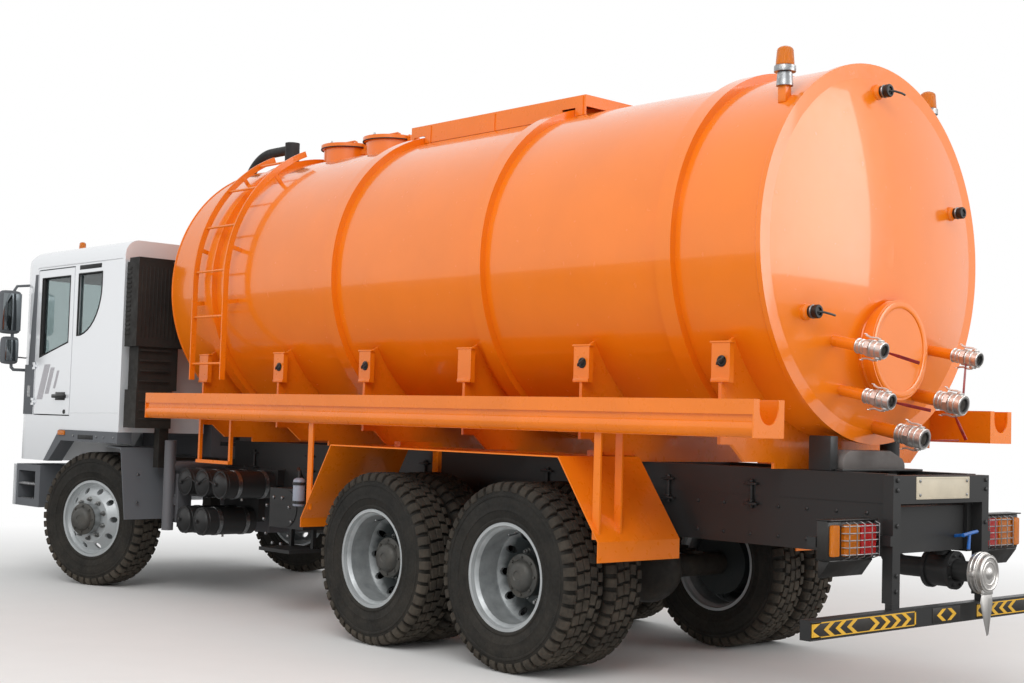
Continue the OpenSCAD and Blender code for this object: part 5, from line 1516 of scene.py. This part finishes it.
@dataclass
class Chassis(Assembly):
    """Rivets, air tanks' ends, intake louvres, brakes, springs' bolts, pump and rigid pipes."""

    def rails(self) -> None:
        """Rows of rivets and the body clamps along both frame rails."""
        low, high = corners("frame")
        rivets = []
        for i in range(44):
            x = low.x + 0.12 + (high.x - low.x - 0.5) * i / 43
            for z in (low.z + 0.055, high.z - 0.055):
                rivets.append(turned("rivet", [(0.0, 0.011), (0.004, 0.010), (0.007, 0.006), (0.008, 0.0001)],
                                     (x, high.y, z), (0, 1, 0), 10))
        self.both(joined("rail_rivets", rivets), Paint.CHASSIS)
        clamps, y = [], high.y + 0.012
        for x in (-3.35, -2.75, -1.75, -0.55, 0.10, 0.80, 1.55):
            clamps.append(rod("bolt", (x, y, high.z - 0.075), (x, y, high.z + 0.085), 0.010, 10, 0.002))
            for z in (high.z - 0.050, high.z + 0.060):
                clamps.append(block("lug", (x - 0.045, high.y - 0.006, z - 0.007),
                                    (x + 0.045, high.y + 0.030, z + 0.007), 0.003))
                clamps.append(rod("nut", (x, y, z + 0.007), (x, y, z + 0.022), 0.016, 6, 0.002))
        self.both(joined("body_clamps", clamps), Paint.CHASSIS)

    def air_tanks(self) -> None:
        """Domed ends, straps and drain taps on the air tanks."""
        _, high = corners("air_tanks")
        radius = 0.105
        ends, straps, taps = [], [], []
        for x, z in ((high.x - 0.12, 0.885), (high.x - 0.37, 0.885), (high.x - 0.62, 0.885), (high.x - 0.12, 0.595),
                     (high.x - 0.37, 0.595)):
            y = high.y
            ends.append(turned("end", [(-0.020, radius - 0.001), (-0.004, radius - 0.006), (0.010, radius - 0.022),
                                       (0.022, radius * 0.6), (0.028, radius * 0.3), (0.029, 0.0001)],
                               (x, y, z), (0, 1, 0), 36))
            ends.append(ring("seam", (x, y - 0.022, z), (0, 1, 0), radius, 0.0035, 40, 6))
            ends.append(rod("boss", (x, y + 0.025, z), (x, y + 0.046, z), 0.016, 6, 0.002))
            for dy in (-0.12, -0.36):
                straps.append(turned("strap", [(-0.016, radius + 0.0005), (-0.016, radius + 0.004),
                                               (0.016, radius + 0.004), (0.016, radius + 0.0005)],
                                     (x, y + dy, z), (0, 1, 0), 36))
            under = z - radius
            taps.append(rod("tap", (x, y - 0.20, under + 0.004), (x, y - 0.20, under - 0.018), 0.010, 6, 0.002))
        self.keep(joined("air_tank_ends", ends), Paint.CHASSIS)
        self.keep(joined("air_tank_straps", straps), Paint.STEEL)
        self.keep(joined("air_tank_taps", taps), Paint.ALLOY)
        # rigid pipes between the ends of the upper tanks
        y = high.y + 0.040
        pipes = [swept("air_pipe", [(x, y, 0.885), (x - 0.125, y + 0.012, 0.93), (x - 0.25, y, 0.885)], 0.006)
                 for x in (high.x - 0.12, high.x - 0.37)]
        self.keep(joined("air_pipe", pipes), Paint.RUBBER)

    def fuel(self) -> None:
        """Straps and a filler cap with its grip on the fuel tank."""
        low, high = corners("fuel_tank")
        path = [(high.y + 0.01, high.z + 0.004), ((low.y + high.y) / 2, high.z + 0.005),
                (low.y + 0.10, high.z + 0.004), (low.y - 0.004, high.z - 0.09), (low.y - 0.005, (low.z + high.z) / 2),
                (low.y - 0.004, low.z + 0.09), (low.y + 0.10, low.z - 0.004)]
        straps = [swept("strap", [(x, y, z) for y, z in path], 0.010, 2) for x in (low.x + 0.20, high.x - 0.20)]
        self.keep(joined("fuel_tank_straps", straps), Paint.CHASSIS)
        spot = Vector((high.x - 0.42, low.y + 0.14, high.z))
        cap = turned("fuel_cap", [(-0.01, 0.045), (0.022, 0.045), (0.024, 0.058), (0.050, 0.056), (0.056, 0.048),
                                  (0.057, 0.0001)], spot, (0, 0, 1), 24)
        grip = block("grip", spot + Vector((-0.045, -0.009, 0.05)), spot + Vector((0.045, 0.009, 0.072)), 0.005)
        self.keep(joined("fuel_cap", [cap, grip]), Paint.SIGN)

    def intake(self) -> None:
        """Louvres, ribs and bands on the intake stack."""
        low, high = corners("intake_stack")
        outline = [(low.x + 0.112, high.y - 0.002), (high.x - 0.006, high.y - 0.002),
                   (high.x - 0.006, high.y + 0.006), (low.x + 0.112, high.y + 0.004)]
        slats = [plate("slat", Plane.FLOOR, outline, z, z + 0.020, 0.002)
                 for z in (2.02 + 0.037 * i for i in range(15))]
        self.keep(joined("intake_louvres", slats), Paint.INTAKE)
        ribs = []
        for i in range(12):
            y = high.y - 0.035 - 0.034 * i
            ribs.append(block("rib", (low.x - 0.003, y - 0.006, 2.00), (low.x + 0.004, y + 0.006, 2.56), 0.002))
        for z in (1.360, 1.430, 1.500, 1.570, 1.660, 1.740, 1.820, 1.900):
            ribs.append(block("band", (low.x - 0.004, 0.925, z - 0.007),
                              (low.x + 0.004, high.y - 0.045, z + 0.007), 0.003))
        self.keep(joined("intake_ribs", ribs), Paint.INTAKE)

    def springs(self) -> None:
        """U-bolts over the front axle and brake chambers by the rear ones."""
        bolts = [rod("bolt", (FRONT_AXLE_X + dx, s * 0.42 + dy, 0.45), (FRONT_AXLE_X + dx, s * 0.42 + dy, 0.77),
                     0.010, 10, 0.002) for s in SIDES for dx in (-0.085, 0.085) for dy in (-0.05, 0.05)]
        self.keep(joined("u_bolts", bolts), Paint.AXLE)
        chambers = []
        for x in REAR_AXLES_X:
            for s in SIDES:
                spot = Vector((x + 0.16, s * 0.30, 0.62))
                chambers.append(turned("chamber", [(-0.10, 0.0001), (-0.098, 0.050), (-0.080, 0.070), (-0.015, 0.074),
                                                   (-0.012, 0.086), (0.012, 0.086), (0.015, 0.074), (0.075, 0.068),
                                                   (0.100, 0.045), (0.104, 0.0001)], spot, (1, 0, 0.15), 32))
                chambers.append(rod("rod", spot - Vector((0.20, 0, 0.03)), spot - Vector((0.08, 0, 0.012)),
                                    0.012, 12))
        self.keep(joined("brake_chambers", chambers), Paint.AXLE)

    def separator(self) -> None:
        """A white separator cylinder with clamps beside the pump, and the pump's flange bolts."""
        low, high = corners("pump_set")
        x, y, z0, z1 = low.x - 0.050, high.y + 0.020, 0.790, 0.990
        can = turned("separator", [(z0, 0.0001), (z0 + 0.003, 0.034), (z0 + 0.010, 0.042), (z1 - 0.02, 0.042),
                                   (z1 - 0.010, 0.037), (z1, 0.020), (z1 + 0.001, 0.0001)],
                     (x, y, 0), (0, 0, 1), 32)
        self.keep(can, Paint.SEPARATOR)
        clamps = [turned("clamp", [(z - 0.010, 0.0425), (z - 0.010, 0.046), (z + 0.010, 0.046), (z + 0.010, 0.0425)],
                         (x, y, 0), (0, 0, 1), 32) for z in (0.82, 0.95)]
        clamps.append(block("arm", (x + 0.035, y - 0.075, 0.812), (low.x + 0.06, y - 0.035, 0.828), 0.003))
        clamps.append(swept("stem", [(x, y, z1 - 0.004), (x, y, z1 + 0.045), (x + 0.04, y - 0.02, z1 + 0.06),
                                     (low.x + 0.10, high.y - 0.12, 0.96), (low.x + 0.12, high.y - 0.16, 0.88)], 0.012))
        self.keep(joined("separator_clamps", clamps), Paint.CHASSIS)
        pump = Vector(((low.x + high.x) / 2, high.y - 0.002, (low.z + high.z) / 2))
        bolts = []
        for i in range(10):
            a = math.tau * i / 10
            spot = pump + Vector((0.17 * math.cos(a), 0, 0.17 * math.sin(a)))
            bolts.append(rod("bolt", spot - Vector((0, 0.004, 0)), spot + Vector((0, 0.012, 0)), 0.012, 6, 0.002))
        self.keep(joined("pump_bolts", bolts), Paint.STEEL)

    def mudguards(self) -> None:
        """Bolts on the front mudguards."""
        low, _ = corners("front_mudguards")
        bolts = [rod("bolt", (low.x - 0.004, y, z), (low.x + 0.004, y, z), 0.012, 12, 0.002)
                 for y in (0.86, 1.10) for z in (0.70, 0.92)]
        self.both(joined("mudguard_bolts", bolts), Paint.STEEL)

    def build(self) -> None:
        """Makes the chassis detail."""
        self.rails()
        self.air_tanks()
        self.fuel()
        self.intake()
        self.springs()
        self.separator()
        self.mudguards()


class Dressing:
    """Gives every CAD node its finish."""

    FINISHES = {
        Paint.BARREL: ["tank", "manway_cover"],
        Paint.GEAR: ["tank_saddles", "walkway", "outlet_pipes", "hose_trays", "rear_mudguards", "ladder",
                     "front_hatch_lid", "rear_hatch_lid"],
        Paint.CHASSIS: ["frame", "subframe", "air_tanks", "pump_set", "rear_frame", "underrun_bar",
                        "drain_valve", "tail_lamps"],
        Paint.AXLE: ["axles", "leaf_springs", "left_knuckle", "right_knuckle"],
        Paint.FUEL_ALLOY: ["fuel_tank"],
        Paint.IRON: ["engine", "exhaust"],
        Paint.INTAKE: ["intake_stack"],
        Paint.ALLOY: ["couplings"],
        Paint.RUBBER: ["vacuum_pipe"],
        Paint.CAB: ["front_bumper", "cab_shell", "cab_roof", "left_door", "right_door"],
        Paint.TRIM: ["cab_steps", "front_mudguards", "mirrors", "arch_trims"],
        Paint.GLASS: ["cab_glass", "left_door_glass", "right_door_glass"],
        Paint.CLOTH: ["seats"],
        Paint.PLASTIC: ["dashboard"],
    }

    def dress(self) -> None:
        """Sets the material slots of all the nodes."""
        chosen = {node: finish for finish, nodes in self.FINISHES.items() for node in nodes}
        for name, node in frame["nodes"].items():
            finish = chosen.get(name, Paint.TYRE if "tyre" in name else Paint.RIM)
            node.data.materials.clear()
            node.data.materials.append(finish.make())


# ---------------------------------------------------------------- studio and camera


@dataclass
class Studio:
    """Pale floor, soft lamps, a white surround and the camera."""

    lens: float = 52.43
    sensor: float = 36.0
    eye: Vector = field(default_factory=lambda: Vector((-8.4491, 7.0412, 1.4148)))
    yaw: float = -0.7516
    pitch: float = 0.0545
    roll: float = 0.029
    ambient: float = 0.75

    def camera(self) -> None:
        """Adds the camera at the viewing place."""
        ahead = Vector((math.cos(self.pitch) * math.cos(self.yaw), math.cos(self.pitch) * math.sin(self.yaw),
                        math.sin(self.pitch)))
        right = Vector((math.sin(self.yaw), -math.cos(self.yaw), 0))
        up = right.cross(ahead)
        side = math.cos(self.roll) * right + math.sin(self.roll) * up
        top = math.cos(self.roll) * up - math.sin(self.roll) * right
        data = bpy.data.cameras.new("camera")
        data.lens, data.sensor_width, data.clip_end = self.lens, self.sensor, 200
        camera = bpy.data.objects.new("camera", data)
        camera.matrix_world = Matrix.Translation(self.eye) @ Matrix((side, top, -ahead)).transposed().to_4x4()
        bpy.context.scene.collection.objects.link(camera)
        bpy.context.scene.camera = camera

    def seen(self, nodes: Nodes):
        """Is 1 for camera, mirror and glass rays, which see the white surround."""
        path = nodes.add("ShaderNodeLightPath").outputs
        share = nodes.math("ADD", path["Is Camera Ray"], path["Is Glossy Ray"])
        return nodes.math("MINIMUM", nodes.math("ADD", share, path["Is Transmission Ray"]), 1.0)

    def world(self) -> None:
        """A white surround that lights the object at a plain level."""
        world = bpy.data.worlds.new("surround")
        bpy.context.scene.world = world
        world.use_nodes = True
        tree = world.node_tree
        path = tree.nodes.new("ShaderNodeLightPath").outputs
        first, second, strength = (tree.nodes.new("ShaderNodeMath") for _ in range(3))
        first.operation, second.operation, strength.operation = "MAXIMUM", "MAXIMUM", "MAXIMUM"
        tree.links.new(path["Is Camera Ray"], first.inputs[0])
        tree.links.new(path["Is Glossy Ray"], first.inputs[1])
        tree.links.new(first.outputs[0], second.inputs[0])
        tree.links.new(path["Is Transmission Ray"], second.inputs[1])
        tree.links.new(second.outputs[0], strength.inputs[0])
        strength.inputs[1].default_value = self.ambient
        background = tree.nodes["Background"]
        background.inputs["Color"].default_value = (1, 1, 1, 1)
        tree.links.new(strength.outputs[0], background.inputs["Strength"])

    def floor(self) -> None:
        """A pale floor that fades into the white surround."""
        bpy.ops.mesh.primitive_plane_add(size=160)
        floor = settled("floor")
        nodes = Nodes("floor")
        nodes.shader.inputs["Roughness"].default_value = 0.9
        nodes.set(nodes.shader.inputs["Base Color"],
                  nodes.mix(nodes.noise(3, 5), (0.82, 0.82, 0.81), (0.86, 0.86, 0.85)))
        glow = nodes.add("ShaderNodeEmission", Color=(1, 1, 1, 1))
        distance = nodes.add("ShaderNodeVectorMath", operation="LENGTH")
        nodes.set(distance.inputs[0], nodes.place)
        fade = nodes.level(distance.outputs["Value"], 4.5, 9.0)
        mixer = nodes.add("ShaderNodeMixShader")
        mirrored = nodes.add("ShaderNodeLightPath").outputs["Is Glossy Ray"]
        nodes.set(mixer.inputs[0], nodes.math("MAXIMUM", nodes.math("MULTIPLY", fade, self.seen(nodes)), mirrored))
        nodes.set(glow.inputs["Strength"], nodes.math("SUBTRACT", 1.0, nodes.math("MULTIPLY", mirrored, 0.8)))
        nodes.set(mixer.inputs[1], nodes.shader.outputs[0])
        nodes.set(mixer.inputs[2], glow.outputs[0])
        nodes.set(nodes.tree.nodes["Material Output"].inputs["Surface"], mixer.outputs[0])
        floor.data.materials.append(nodes.material)

    def lamp(self, name: str, place: tuple, aim: tuple, size: float, power: float) -> None:
        """Adds one square soft lamp that faces a point."""
        data = bpy.data.lights.new(name, "AREA")
        data.size, data.energy = size, power
        lamp = bpy.data.objects.new(name, data)
        turn = (Vector(aim) - Vector(place)).to_track_quat("-Z", "Y")
        lamp.matrix_world = Matrix.Translation(place) @ turn.to_matrix().to_4x4()
        bpy.context.scene.collection.objects.link(lamp)

    def build(self) -> None:
        """Sets up the whole studio."""
        self.camera()
        self.world()
        self.floor()
        self.lamp("key", (-7, 9, 10), (0, 0, 1.5), 7, 620)
        self.lamp("back", (-11, -5, 5), (-3, 0, 2), 5, 260)
        bpy.context.scene.view_settings.view_transform = "Standard"


def main() -> None:
    """Builds the truck's looks in order."""
    logging.basicConfig(level=logging.INFO, format="%(name)s: %(message)s")
    Studio().build()
    Dressing().dress()
    for assembly in (Wheels(), TankGear(), Outlets(), RearEnd(), Cab(), Seats(), Chassis()):
        assembly.build()
        assembly.report()


if __name__ == "__main__":
    main()
